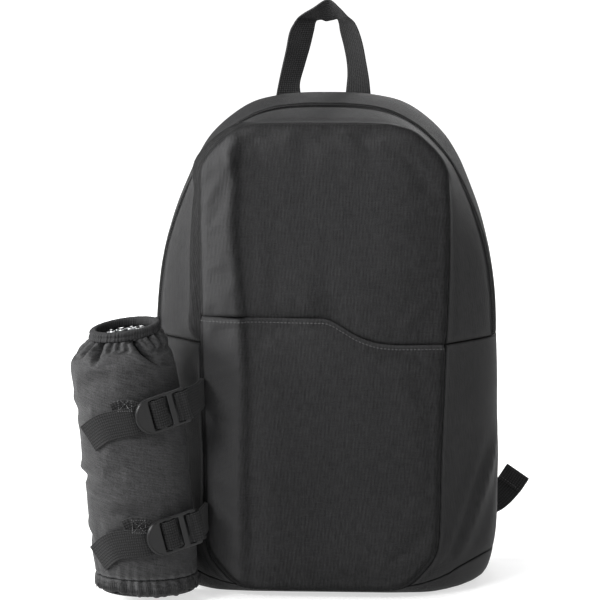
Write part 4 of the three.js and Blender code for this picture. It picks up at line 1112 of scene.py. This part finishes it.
both_sides = (("right", 1), ("left", -1))
strap_steps = 110
strap_shares = np.linspace(0, 1, strap_steps)
strap_wide = strap_width * (.62 + .38 * ease(0, .25, strap_shares)) * (1 - .38 * ease(.82, 1, strap_shares))
strap_thick = strap_thickness * (.5 + .5 * ease(.12, .34, strap_shares)) * (1 - .5 * ease(.88, 1, strap_shares))
section_count = 40
section_angles = 2 * math.pi * np.arange(section_count) / section_count
section_across = np.sign(np.cos(section_angles)) * np.abs(np.cos(section_angles)) ** 0.55
section_thick = np.sign(np.sin(section_angles)) * np.abs(np.sin(section_angles)) ** 0.8
binding_cloth = cloth_finish("binding", (0.004, 0.004, 0.0042), (0.028, 0.028, 0.029), 0.9, 2.2, 0.2)
binding_count = 12
binding_angles = 2 * math.pi * np.arange(binding_count) / binding_count
for side_name, side in both_sides:
    middle, strap_normals, _ = strip(mirrored(strap_path, side), 1.0, strap_steps, np.array([0.0, 0.5, 1.0]))
    wide = middle[:, 2] - middle[:, 0]
    edge_slim = 0.25 + 0.75 * ease(0, 0.34, 1 - np.abs(section_across))
    pad = (middle[:, 1, None] + wide[:, None] * (section_across[None] * strap_wide[:, None] / 2)[..., None]
           + strap_normals[:, 1, None] * (section_thick * edge_slim)[None, :, None] * strap_thick[:, None, None] / 2)
    pad += strap_normals[:, 1, None] * (0.5 * soft_lumps(pad, 30, 30 + side))[..., None]
    run = run_of(middle[:, 1])
    strap = closed_band(f"shoulder_strap_{side_name}", pad, band_places(section_angles * 24, run),
                        np.zeros((strap_steps, section_count)), bag_cloth, [f"shoulder_strap_{side_name}"])
    at_ends = (strap_shares < 0.1) | (strap_shares > 0.96)
    held = np.repeat(at_ends, section_count) | np.tile(np.abs(section_across) > 0.8, strap_steps)
    settle(strap, np.concatenate([~held, [False, False]]), 2.5, 0.01, 1.2)
    for edge_name, edge_side in (("outer", 1), ("inner", -1)):
        binding_middle = middle[:, 1] + wide * (edge_side * (strap_wide / 2 - 1.2))[:, None]
        loops = np.stack([binding_middle + wide * math.cos(a) * 2.6 + strap_normals[:, 1] * math.sin(a) * 2.1
                          for a in binding_angles], 1)
        closed_band(f"strap_binding_{edge_name}_{side_name}", loops, band_places(np.arange(binding_count) * 1.1, run),
                    np.full((strap_steps, binding_count), 0.3), binding_cloth, [])
        stitch_middle = middle[4:-4, 1] + wide[4:-4] * (edge_side * (strap_wide[4:-4] / 2 - 2.0))[:, None]
        sewn_line(f"strap_stitches_{edge_name}_{side_name}", [
            (stitch_middle + strap_normals[4:-4, 1] * 2.05, strap_normals[4:-4, 1]),
            (stitch_middle - strap_normals[4:-4, 1] * 2.05, -strap_normals[4:-4, 1])],
            3.4, 2.5, 0.5, 0.4, thread_finish.material)

# Ladder locks: moulded nylon plates with a rounded tab to push with the thumb, then slots and bars for webbing.
# Those on the shoulder straps have two slots and the larger ones on the pouch have three.
lock_half_width = 15.8
lock_thickness = 4
lock_slot = 6
lock_bar = 5.3
lock_slot_width = 26.4
lock_plastic = Finish("lock_plastic", 0.42, specular=0.24)
plastic_grain = lock_plastic.cloudy(lock_plastic.object_place(), 700.0, 2.0)
plastic_wear = lock_plastic.cloudy(lock_plastic.object_place(), 90.0, 2.0)
lock_plastic.colour(0.6 * plastic_wear + 0.2 * plastic_grain, (0.0024, 0.0024, 0.0025), (0.008, 0.008, 0.0084))
lock_plastic.feed(lock_plastic.shader.inputs["Roughness"], 0.28 + 0.22 * plastic_wear)
lock_plastic.relief(plastic_grain, 0.03)


def buckle_frame(start, along, outward):
    """Where a ladder lock stands and how it is turned, and the way across it."""
    length = Vector(along).normalized()
    face = Vector(outward)
    face -= length * face.dot(length)
    face.normalize()
    across = face.cross(length)
    turned = Matrix((length, across, face)).transposed().to_4x4()
    return Matrix.Translation(Vector(start)) @ turned, tuple(across)


def lock_path(place, across):
    """A function for a webbing's path at a ladder lock: how far along the lock, and how high from its underside."""
    return lambda along, rise: (tuple(place @ Vector((along, 0, rise))), across)


def rounded_outline(corners, radius, steps=5):
    """An outline in a plane with its corners rounded."""
    points = []
    for i, corner in enumerate(corners):
        corner = Vector(corner)
        before = (Vector(corners[i - 1]) - corner).normalized()
        after = (Vector(corners[(i + 1) % len(corners)]) - corner).normalized()
        start, end = corner + before * radius, corner + after * radius
        for k in range(steps + 1):
            t = k / steps
            points.append(start * (1 - t) ** 2 + corner * 2 * t * (1 - t) + end * t * t)
    return points


def ladder_lock(name, place, length, tab, slots, nodes):
    """A plate with a rounded thumb tab, slots and bars; a raised lip follows the tab's edge."""
    half = lock_half_width
    body = rounded_outline([(tab, -half), (length, -half), (length, half), (tab, half)], 2.2)
    outline = [Vector((tab * (1 - math.sin(a)), half * math.cos(a)))
               for a in np.linspace(math.pi * 0.02, math.pi * 0.98, 26)]
    outline += [p for p in body if p.x > tab + 1]
    curve = bpy.data.curves.new(name, "CURVE")
    curve.dimensions = "2D"
    curve.fill_mode = "BOTH"
    rounding = 0.8
    curve.extrude = (lock_thickness / 2 - rounding) * MM
    curve.bevel_depth = rounding * MM
    curve.bevel_resolution = 3
    curve.offset = -rounding * MM
    rings = [outline]
    across = lock_slot_width / 2
    for i in range(slots):
        start = tab + i * (lock_slot + lock_bar)
        end = start + lock_slot
        rings.append(rounded_outline([(start, -across), (start, across), (end, across), (end, -across)], 0.9))
    for ring in rings:
        spline = curve.splines.new("POLY")
        spline.points.add(len(ring) - 1)
        spline.use_cyclic_u = True
        for point, at in zip(spline.points, ring):
            point.co = (at[0] * MM, at[1] * MM, 0, 1)
    holder = bpy.data.objects.new(name + "_outline", curve)
    scene.collection.objects.link(holder)
    mesh = bpy.data.meshes.new_from_object(holder.evaluated_get(bpy.context.evaluated_depsgraph_get()))
    bpy.data.objects.remove(holder)
    plate = bmesh.new()
    plate.from_mesh(mesh)
    bmesh.ops.remove_doubles(plate, verts=plate.verts, dist=1e-6)
    bmesh.ops.translate(plate, verts=plate.verts, vec=(0, 0, lock_thickness / 2 * MM))
    lip_rows = []
    lip_steps, lip_sides = 24, 8
    lip_height, lip_radius = lock_thickness - 0.2, 0.75
    for a, turn in zip(np.linspace(0.25, math.pi - 0.25, lip_steps), np.linspace(math.pi, 0, lip_steps)):
        x, y = tab * (1 - 0.9 * math.sin(a)), (half - 1.1) * math.cos(a)
        lip_rows.append([plate.verts.new((
            (x + lip_radius * math.cos(b) * math.cos(turn)) * MM, (y + lip_radius * math.cos(b) * math.sin(turn)) * MM,
            (lip_height + 0.8 * math.sin(b)) * MM)) for b in 2 * math.pi * np.arange(lip_sides) / lip_sides])
    for low, high in zip(lip_rows[:-1], lip_rows[1:]):
        for k in range(lip_sides):
            e = (k + 1) % lip_sides
            plate.faces.new((low[k], low[e], high[e], high[k]))
    plate.faces.new(lip_rows[0][::-1])
    plate.faces.new(lip_rows[-1])
    bmesh.ops.recalc_face_normals(plate, faces=plate.faces)
    to_metres = Matrix.Scale(MM, 4) @ place @ Matrix.Scale(1 / MM, 4)
    plate.transform(to_metres)
    plate.to_mesh(mesh)
    plate.free()
    mesh.materials.clear()
    mesh.materials.append(lock_plastic.material)
    piece = add_piece(name, mesh, nodes)
    crisp = piece.modifiers.new("crisp", "WEIGHTED_NORMAL")
    crisp.keep_sharp = True


# The shoulder straps' webbing runs from each pad down to its ladder lock and turns round the lock's bar;
# the loose tail is folded double beyond it. A short tab of webbing holds each lock at the bag's lower corner.
strap_lock_tab = 6
strap_lock_length = 30
strap_lock_start = (118.5, back_face_y + 6.2, 57)
web_layer = web_thickness + 0.3
for side_name, side in both_sides:
    place, _ = buckle_frame((strap_lock_start[0] * side, strap_lock_start[1], strap_lock_start[2]),
                            (0.13 * side, 0, -1), (0, 1, 0))
    ladder_lock(f"strap_buckle_{side_name}", place, strap_lock_length, strap_lock_tab, 2,
                [f"strap_buckle_{side_name}"])
    across = (1, 0, 0.13 * side)
    at_lock = lock_path(place, across)
    strap_turn = strap_lock_tab + lock_slot + lock_bar + lock_slot * 0.23
    tab_turn = strap_lock_tab + lock_slot + lock_bar + lock_slot * 0.66
    tab_seat = back_y + back_crown * 0.1 + 0.3 + web_thickness / 2 - strap_lock_start[1]
    tail_y = strap_lock_start[1] + lock_thickness + 1.1 + web_thickness
    web_strip(f"strap_webbing_{side_name}", [
        ((99.5 * side, back_face_y + strap_bow * 0.32, strap_foot_z - 8), (1, 0, 0.15 * side)),
        ((110 * side, back_face_y + 7, 110), across),
        at_lock(-4, -1.3), at_lock(strap_turn - 5, -1.1), at_lock(strap_turn - 1.2, -0.9),
        at_lock(strap_turn, lock_thickness / 2), at_lock(strap_turn - 1.2, lock_thickness + 0.9),
        at_lock(strap_turn - 5, lock_thickness + 1.2), at_lock(strap_turn - 13, lock_thickness + 1.2)],
        150, [f"strap_webbing_{side_name}"])
    web_strip(f"strap_tail_{side_name}", mirrored([
        ((110, tail_y, 49), (0, 0, 1)), ((124, tail_y, 49.3), (-.05, 0, 1)), ((140, tail_y + 2, 50.5), (-.3, 0, .95)),
        ((155, tail_y + 2.5, 56), (-.6, 0, .8)), ((167, tail_y + 1.5, 68), (-.78, 0, .62)),
        ((176, tail_y, 82), (-.82, 0, .57))], side), 90, [])
    web_strip(f"corner_tab_{side_name}", [
        at_lock(strap_lock_length + 16, tab_seat), at_lock(strap_lock_length + 11, tab_seat),
        at_lock(strap_lock_length + 3, -3), at_lock(tab_turn + 4, -1.3), at_lock(tab_turn + 1.2, -0.9),
        at_lock(tab_turn, lock_thickness / 2), at_lock(tab_turn + 1.2, lock_thickness + 0.9),
        at_lock(strap_lock_length - 1, lock_thickness + 1.7), at_lock(strap_lock_length + 3, lock_thickness * 0.7),
        at_lock(strap_lock_length + 6.5, -1.6), at_lock(strap_lock_length + 12, tab_seat + web_layer),
        at_lock(strap_lock_length + 16, tab_seat + web_layer)], 130, [f"corner_tab_{side_name}"])

# Each loose tail ends in a fold of two layers with one row of stitches, so that it can't slip out of the lock.
for side_name, side in both_sides:
    fold_path = mirrored([
        ((168.2, tail_y - 1.3, 69.8), (-.79, 0, .61)), ((172.0, tail_y - 1.5, 75.6), (-.81, 0, .585)),
        ((176.2, tail_y - 1.6, 82.3), (-.82, 0, .57)), ((176.6, tail_y - 0.4, 82.9), (-.82, 0, .57))], side)
    web_strip(f"tail_fold_{side_name}", fold_path, 40, [])
    fold_side = np.array((-.8 * side, 0, .6))
    fold_at = np.array((169.6 * side, tail_y - 2.2, 71.9))
    tail_line = fold_at + fold_side * np.linspace(-11.5, 11.5, 12)[:, None] * (1, 1, side)
    sewn_line(f"tail_stitches_{side_name}", [(tail_line, np.tile((0.0, -1.0, 0.0), (len(tail_line), 1)))],
              2.6, 1.9, 0.7, 0.5, thread_finish.material)

# Bottle pouch: a round padded sleeve in the bag's cloth, drawn in under its mouth and creased where it was folded.
# Its rings are given from the foot to the mouth: the level as a share of its height, the lean, how wide the
# ring is as a share of the radius, and how far it has turned towards the mouth's own roll and tilt.
pouch_radius = 46.3
pouch_deep_radius = 41.5
pouch_height = 234
pouch_foot_z = 11
pouch_foot_x = -152.6
pouch_lean = -21
pouch_y = -88
pouch_wall = 3.5
mouth_roll = math.radians(-7.7)
mouth_tilt = math.radians(6.7)
pouch_rings = np.array([
    (0, 0, .965, 0), (.035, .04, .99, 0), (.066, .08, .965, 0), (.16, .17, .985, 0), (.3, .32, .99, 0),
    (.52, .58, 1, 0), (.74, .84, 1, .15), (.855, .96, .985, .35), (.885, .98, .93, .55), (.925, .97, .79, .8),
    (.96, .93, .675, 1), (1, .9, .645, 1), (1.05, .88, .64, 1)])
ring_scale = (234, 21, 46, 30)
pouch_curve = smooth_line(pouch_rings * ring_scale, np.linspace(0, 1, 600)) / ring_scale
# Each gather: its angle at the mouth and at its low end, the level of that end, its depth and its width in degrees
gathers = [
    (-124, -117, .865, 5.6, 6.5), (-104, -103, .918, 2.4, 4), (-92, -91, .925, 2.2, 4), (-80, -77, .915, 2.4, 4),
    (-68, -40, .845, 6.4, 6.5), (-54, -46, .925, 2, 4), (-40, -34, .912, 2.6, 4.5), (-22, -20, .9, 3, 5),
    (-143, -146, .89, 3.4, 6), (-163, -166, .9, 3.2, 6), (178, 178, .89, 3.4, 6), (160, 161, .9, 3, 6),
    (141, 140, .88, 3.6, 6), (121, 122, .9, 3, 5), (102, 100, .885, 3.4, 6), (83, 84, .9, 3, 5),
    (64, 62, .885, 3.4, 6), (44, 45, .9, 3, 5), (24, 23, .885, 3.4, 6), (2, 2, .9, 3, 5)]
# Each crease: its angle, height, half width in degrees, half height and depth in millimetres, and how it slopes
pouch_creases = [
    (-165, 112, 26, 4.5, 2.6, 0.10), (-135, 92, 24, 5, 1.6, -0.22), (-100, 84, 30, 6, 1.3, 0.12),
    (-160, 172, 24, 6, 1.2, 0.14), (-60, 128, 22, 8, 1.2, -0.2), (-120, 200, 22, 8, 1.0, 0.15),
    (-80, 46, 26, 6, 1.4, 0.1), (-170, 60, 20, 5, 1.4, -0.12), (60, 120, 40, 8, 1.6, 0.1),
    (120, 70, 30, 7, 1.4, -0.1)]


def degrees_from(angles, middle):
    """How far angles in radians are from a middle in degrees, from -180 to 180 degrees."""
    return (np.degrees(angles) - middle + 180) % 360 - 180


def hem_gather(angles):
    return 0.5 + 0.32 * np.sin(angles * 31 + 1.9 * np.sin(angles * 4)) + 0.18 * np.sin(angles * 17 + 1)


def pouch_skin(angles, levels, inset=0.0, gathered=True):
    """Points on the pouch's outside at angles round it and levels up it, in from it by inset."""
    angles, levels = np.broadcast_arrays(angles, levels)
    lean, wide, turn = (np.interp(levels, pouch_curve[:, 0], pouch_curve[:, k]) for k in (1, 2, 3))
    drop = np.zeros(angles.shape) + inset
    if gathered:
        for mouth_angle, low_angle, low_level, depth, width in gathers:
            up = np.clip((levels - low_level) / (0.955 - low_level), 0, 1)
            away = degrees_from(angles, low_angle + (mouth_angle - low_angle) * up)
            strength = ease(0, 0.45, up) * (1 - 0.5 * ease(0.968, 1.0, levels))
            drop += 1.45 * depth * strength * np.exp(-(away / (width * (0.35 + 0.6 * up))) ** 2)
            drop -= 0.3 * depth * strength * np.exp(-((np.abs(away) - 1.9 * width) / width) ** 2)
        z = pouch_foot_z + pouch_height * levels
        drop -= 1.6 * ease(0.89, 0.935, levels) * (1 - ease(0.95, 0.966, levels))
        drop += 2.2 * np.exp(-((z - 20) / 13) ** 2) * (hem_gather(angles) - 0.2)
        for angle, height, half_wide, half_high, depth, slope in pouch_creases:
            away = degrees_from(angles, angle)
            off = z - height - slope * away
            drop += 1.5 * depth * np.exp(-(away / half_wide) ** 2) * (
                np.exp(-(off / half_high) ** 2) - 0.6 * np.exp(-((off - 1.7 * half_high) / half_high) ** 2))
    normal = np.stack([np.cos(angles) * pouch_deep_radius, np.sin(angles) * pouch_radius], -1)
    normal /= np.linalg.norm(normal, axis=-1, keepdims=True)
    x = pouch_radius * wide * np.cos(angles) - normal[..., 0] * drop
    y = pouch_deep_radius * wide * np.sin(angles) - normal[..., 1] * drop
    roll, tilt = mouth_roll * turn, mouth_tilt * turn
    x, low = x * np.cos(roll), -x * np.sin(roll)
    y, up = y * np.cos(tilt) - low * np.sin(tilt), y * np.sin(tilt) + low * np.cos(tilt)
    return np.stack([x + pouch_foot_x + pouch_lean * lean, y + pouch_y,
                     up + pouch_foot_z + pouch_height * levels], -1)


def pouch_normals(grid, levels):
    """Which way a closed grid of the pouch faces, away from the pouch's leaning middle line."""
    core = np.stack([pouch_foot_x + pouch_lean * levels, np.full(len(levels), pouch_y),
                     pouch_foot_z + pouch_height * levels], 1)[:, None]
    wrapped = np.concatenate([grid[:, -1:], grid, grid[:, :1]], 1)
    return skin_normals(wrapped, core)[:, 1:-1]


def closed_line(*lines):
    return tuple(np.concatenate([line, line[:1]]) for line in lines)


pouch_cloth = cloth_finish("pouch_cloth", (0.0042, 0.0042, 0.0043), (0.044, 0.044, 0.045), 1.0, 1.0, 0.2,
                           rib_mm=2.3, rib=0.05)
around_count = 240
pouch_angles = 2 * math.pi * np.arange(around_count) / around_count
shell_levels = np.concatenate([[.0655, .068, .072], np.linspace(.08, .84, 62), np.linspace(.846, .962, 34),
                               [.9645, .966]])
shell_grid = pouch_skin(pouch_angles[None], shell_levels[:, None])
shell_normals = pouch_normals(shell_grid, shell_levels)
shell_edge = edge_distance(shell_grid, closed=True)[0]
shell_rise = 0.5 * soft_lumps(shell_grid, 26, 41) * (1 - np.exp(-shell_edge / 8)) - turned_edge(shell_edge, 1.0)
shell_girth = np.broadcast_to(pouch_angles * 44, shell_grid.shape[:2])
shell_places = np.stack([shell_grid[..., 2] + 0.35 * shell_girth, shell_girth], 2)
# Painted shade darkens the cloth where the gathers under the mouth sink it in, the more the deeper they sink.
shell_smooth = pouch_skin(pouch_angles[None], shell_levels[:, None], gathered=False)
shell_sunk = ((shell_smooth - shell_grid) * shell_normals).sum(2)
shell_sunk = (shell_sunk / 5).clip(0, 1) * ease(0.84, 0.88, shell_levels)[:, None]
shell = sewn_pad("pouch_shell", shell_grid, shell_normals, pouch_wall * 0.8, shell_rise,
                 np.exp(-((shell_edge - 1) / 1.3) ** 2) - 1.6 * shell_sunk, pouch_cloth, ["pouch_shell"],
                 closed=True, places=shell_places)
shell_free = (shell_edge > 3).ravel()
settle(shell, np.concatenate([shell_free, np.zeros(len(shell_free), bool)]), 2.5, 0.012, 1.6)

# The mouth is bound with a gathered elastic tape, folded over the edge and stitched through its middle.
# The foot is drawn in by a wider ribbed elastic, and a round of cloth closes it.
elastic = webbing_finish("elastic", (0.003, 0.003, 0.0031), (0.024, 0.024, 0.025), 0.8, 2.4, 0.15)
rim_profile = [(-0.4, .9665), (-0.9, .969), (-1.15, .974), (-1.0, .979), (-0.35, .983), (-1.0, .987), (-1.1, .992),
               (-0.6, .997), (0.8, 1.0), (2.6, 1.0), (4.0, .997), (4.5, .99), (4.5, .978), (4.3, .9665), (2.0, .9665)]
rim_count = 300
rim_angles = 2 * math.pi * np.arange(rim_count) / rim_count
rim_pucker = 0.35 * np.sin(rim_angles * 64 + 2 * np.sin(rim_angles * 5)) + 0.25 * np.sin(rim_angles * 23 + 1)
rim_rings = np.stack([pouch_skin(rim_angles, level, inset + rim_pucker * (0.7 if inset < 1 else 0.3), gathered=False)
                      for inset, level in rim_profile], 1)
closed_band("pouch_rim", rim_rings, band_places(np.arange(len(rim_profile)) * 1.6, rim_angles * 30),
            np.zeros(rim_rings.shape[:2]), elastic, ["pouch_rim"], loop=True)
rim_line = pouch_skin(rim_angles, .983, 0.05, gathered=False)
rim_out = pouch_skin(rim_angles, .983, -1.0, gathered=False) - rim_line
sewn_line("rim_stitches", [closed_line(rim_line, rim_out)],
          2.8, 2.0, 0.5, 0.4, thread_finish.material)

hem_height = 15
hem_top = pouch_foot_z + hem_height - seam_gap
hem_sag = 2.4 * ease(0.2, 0.9, 0.5 + 0.5 * np.sin(rim_angles * 3 + 2.2))
hem_low = np.maximum(hem_sag + 1.1 * hem_gather(rim_angles) + 0.4 * np.sin(rim_angles * 11), 0)
hem_notch = 1.6 * np.exp(-(degrees_from(rim_angles, 251) / 9) ** 2)
hem_out = 1.1 - 2.4 * hem_gather(rim_angles) + 0.4 * np.sin(rim_angles * 5 + 0.8) - hem_notch
hem_profile = [(-0.3, 1.0), (0.2, .8), (0.35, .55), (0.1, .3), (-0.3, .1), (-1.2, 0.0), (-2.6, 0.0), (-2.9, .2),
               (-2.9, .8), (-2.6, 1.0)]
hem_rings = []
for out, share in hem_profile:
    hem_level = (hem_top - (hem_top - pouch_foot_z - hem_low) * (1 - share) - pouch_foot_z) / pouch_height
    inset = 0.3 - out - (hem_out if out > -2 else 0)
    hem_rings.append(pouch_skin(rim_angles, hem_level, inset, gathered=False))
hem_rings = np.stack(hem_rings, 1)
closed_band("pouch_hem", hem_rings, band_places(np.arange(len(hem_profile)) * 1.8, rim_angles * 44),
            np.zeros(hem_rings.shape[:2]), pouch_cloth, ["pouch_hem"], loop=True)
rib_middle = hem_rings[:, 2] * 0.5 + hem_rings[:, 3] * 0.5
rib_out = (rib_middle - (pouch_foot_x, pouch_y, 0)) * (1, 1, 0)
rib_out /= np.linalg.norm(rib_out, axis=1, keepdims=True)
sewn_line("hem_ribs", [closed_line(rib_middle, rib_out)], 2.0, 1.1, 9.5, 0.9, pouch_cloth)
foot_radius = pouch_rings[0, 2]
foot_insets = [(0, 0.0), (0, 1.0), (0.6, 1.9), (1.6, 2.6), (6, 2.8), (16, 2.5), (28, 2.7), (36, 2.6)]
foot_disc = []
for inset, up in [(36, 0.2), (28, 0.2), (16, 0.1), (1.2, 0.1), *foot_insets]:
    foot_disc.append(np.stack([
        pouch_foot_x + (pouch_radius * foot_radius - pouch_wall - inset) * np.cos(pouch_angles[::3]),
        pouch_y + (pouch_deep_radius * foot_radius - pouch_wall - inset) * np.sin(pouch_angles[::3]),
        np.full(around_count // 3, pouch_foot_z + 0.3 + up)], 1))
foot_disc = np.array(foot_disc)
pouch_base = closed_band("pouch_base", foot_disc, foot_disc[..., :2], np.zeros(foot_disc.shape[:2]),
                         pouch_cloth, ["pouch_base"])

# Inside the pouch hangs a lining of silver foil on thin foam, crinkled from handling.
# It was cut as a rectangle and closed to a tube, then gathered under the mouth.
foil = Finish("foil", 0.3, specular=0.6)
foil.shader.inputs["Metallic"].default_value = 0.85
foil_place = foil.object_place()
foil_crinkle = foil.cloudy(foil_place, 170.0, 5.0, 0.65)
foil_facets = foil.node("ShaderNodeTexVoronoi", {"feature": "F1"}, {"Vector": foil_place, "Scale": 120.0})
foil_cells = Tone(foil, foil_facets.outputs["Distance"])
foil.colour(0.4 + 0.8 * foil_crinkle - 0.3 * foil_cells, (0.34, 0.345, 0.35), (0.80, 0.81, 0.82))
foil.feed(foil.shader.inputs["Roughness"], 0.2 + 0.3 * foil_crinkle)
foil.relief(foil_crinkle + foil_cells, 1.2, 0.9)
lining_levels = np.concatenate([np.linspace(.022, .84, 50), np.linspace(.85, .9645, 16)])
lining_angles = pouch_angles[::2]
lining_grid = pouch_skin(lining_angles[None], lining_levels[:, None], 5.2)
lining_normals = pouch_normals(lining_grid, lining_levels)
lining_rise = 0.5 * soft_lumps(lining_grid, 9, 53) - 0.6
lining_places = np.stack([np.broadcast_to(lining_angles * 39, lining_grid.shape[:2]), lining_grid[..., 2]], 2)
lining = sewn_pad("pouch_lining", lining_grid, lining_normals, 0.9, lining_rise, lining_rise * 0, foil.material,
                  ["pouch_lining"], closed=True, places=lining_places)


# Ladder locks and webbing hold the pouch to the bag: one piece of webbing is sewn to the pouch under the lock,
# passes through it and ends in a loose tail; the other comes from the bag's front seam round the last bar.
def on_pouch(degrees, z, lift):
    angle = math.radians(degrees)
    level = (z - pouch_foot_z) / pouch_height
    here = pouch_skin(np.array([angle]), np.array([level]), 0.0, gathered=False)[0]
    normal = np.array([math.cos(angle) / pouch_radius, math.sin(angle) / pouch_deep_radius, 0])
    return here + normal / np.linalg.norm(normal) * lift


left_ring = front_ring[front_ring[:, 0] < -front_half_width * 0.85]
left_ring = left_ring[np.argsort(left_ring[:, 2])]


def left_seam(z):
    return np.array([np.interp(z, left_ring[:, 2], left_ring[:, k]) for k in range(3)])


pouch_webbing = webbing_finish("pouch_webbing", (0.0008, 0.0008, 0.0009), (0.016, 0.016, 0.0163), 2.4, 1.9, 0.4)
lock_length = 48
lock_tab = 14
slot_one = lock_tab + lock_slot / 2
slot_two = slot_one + lock_slot + lock_bar
slot_three = slot_two + lock_slot + lock_bar
over_lock = lock_thickness + 0.3 + web_thickness / 2
under_lock = -0.3 - web_thickness / 2
sewn_webbings = {}
for strap_name, start, along, sewn_at, tail_at, seam_z in (
        ("upper", (-157.6, -136.2, 168.5), (.88, .392, .262), (-88, 171), (-133, 150), 184),
        ("lower", (-148.6, -135.2, 62.5), (.885, .392, .245), (-90, 68), (-141, 43), 74)):
    place, across = buckle_frame(start, along, (.42, -.9, 0))
    ladder_lock(f"pouch_buckle_{strap_name}", place, lock_length, lock_tab, 3, [f"pouch_buckle_{strap_name}"])
    at_lock = lock_path(place, across)
    sewn_side, tail_side = (-.14, 0, .99), (-.33, 0, .94)
    sewn_angle, sewn_z = sewn_at
    tail_angle, tail_z = tail_at
    sewn_webbings[strap_name] = web_strip(f"pouch_webbing_{strap_name}", [
        (on_pouch(sewn_angle - 10, sewn_z, web_layer / 2 + 0.2), sewn_side),
        (on_pouch(sewn_angle, sewn_z + 3, web_layer / 2 + 0.4), sewn_side),
        at_lock(lock_tab * .6, under_lock - web_layer), at_lock(slot_one + 4, under_lock - web_layer),
        at_lock(slot_two - 1.4, under_lock - web_layer * .7), at_lock(slot_two + .2, lock_thickness / 2),
        at_lock(slot_two - 1.6, over_lock), at_lock(slot_one + 1.6, over_lock),
        at_lock(slot_one - .2, lock_thickness / 2),
        at_lock(slot_one - 2.2, under_lock), at_lock(lock_tab * .4, under_lock), at_lock(-1.5, under_lock - .6),
        (on_pouch((sewn_angle + tail_angle) / 2, (sewn_z + tail_z) / 2 + 1, web_layer * 1.5 + 1.2), tail_side),
        (on_pouch(tail_angle, tail_z, web_layer + 1.5), tail_side)], 260, [f"pouch_webbing_{strap_name}"],
        finish=pouch_webbing)
    seam = left_seam(seam_z)
    seam_side = left_seam(seam_z + web_width / 2) - left_seam(seam_z - web_width / 2)

    def at_seam(x, y, z):
        return seam + (x, y, z), seam_side
    web_strip(f"bag_webbing_{strap_name}", [
        at_seam(.5, -1.5, 0), at_seam(.2, -8.3, 0), at_seam(-2, -25, -1.6),
        at_lock(lock_length + 3.4, lock_thickness * .8), at_lock(lock_length - .5, over_lock + .8),
        at_lock(lock_length - lock_bar, over_lock), at_lock(slot_three + 1.6, over_lock),
        at_lock(slot_three, lock_thickness / 2), at_lock(slot_three + 1.6, under_lock),
        at_lock(lock_length - lock_bar, under_lock - .3), at_lock(lock_length, under_lock - 1.1),
        at_seam(-4.6, -25, -1.8), at_seam(-1.6, -8.3, 0), at_seam(-1.2, -.6, 0)],
        200, [f"bag_webbing_{strap_name}"], finish=pouch_webbing)

# Where each webbing is sewn to the pouch, its end is held by a box of stitches with a cross in it.
box_angle = math.radians(-86)
box_out = np.array([math.cos(box_angle), math.sin(box_angle), 0])
for strap_name, box_low, box_high in (("upper", 177.5, 188), ("lower", 70.5, 80.5)):
    corners = np.array([(-93, box_low), (-79.5, box_low), (-79.5, box_high), (-93, box_high)])
    box_lines = []
    for start, end in [(0, 1), (1, 2), (2, 3), (3, 0), (0, 2), (1, 3)]:
        steps = [corners[start] + (corners[end] - corners[start]) * t for t in np.linspace(0, 1, 9)]
        line, line_out = on_cloth(sewn_webbings[strap_name], [on_pouch(degrees, z, 3.0) for degrees, z in steps],
                                  box_out, 0.15)
        if len(line) > 2:
            box_lines.append((line, line_out))
    sewn_line(f"box_stitches_{strap_name}", box_lines, 1.9, 1.5, 0.6, 0.5, thread_finish.material)

# Zip slider: a small die-cast body on the coil at the zip's left end, with a flat pull that hangs from it.
# It parks below the shoulder, where the pouch hides it from the front.
slider_middle = np.array((-bag_half_width * 0.987 - 2.5, zip_y, side_seam_z + 7.2))


def rounded_block(mesh, low, high, radius):
    made = bmesh.ops.create_cube(mesh, size=1.0)["verts"]
    centre, size = (low + high) / 2, high - low
    for vert in made:
        vert.co = Vector(centre + np.array(vert.co) * size)
    edges = list({edge for vert in made for edge in vert.link_edges})
    bmesh.ops.bevel(mesh, geom=edges, offset=radius, segments=3, profile=0.5, affect="EDGES")


# Body, top plate, bridge and pull: each from a low corner to a high one, with its edges' radius
slider_shape = bmesh.new()
for low, high, radius in (((-0.2, -4.5, -6.5), (1.6, 4.5, 6.5), 0.7), ((-1.6, -3.6, -5.2), (-0.3, 3.6, 5.4), 0.5),
                          ((-2.3, -1.1, -4.2), (-1.4, 1.1, 3.8), 0.35), ((-2.3, -2.5, -24), (-1.1, 2.5, -1.5), 0.5)):
    rounded_block(slider_shape, slider_middle + low, slider_middle + high, radius)
slider_mesh = bpy.data.meshes.new("zipper_slider")
bmesh.ops.scale(slider_shape, vec=(MM, MM, MM), verts=slider_shape.verts)
slider_shape.to_mesh(slider_mesh)
slider_shape.free()
slider_mesh.materials.append(lock_plastic.material)
add_piece("zipper_slider", slider_mesh, ["zipper_slider"])
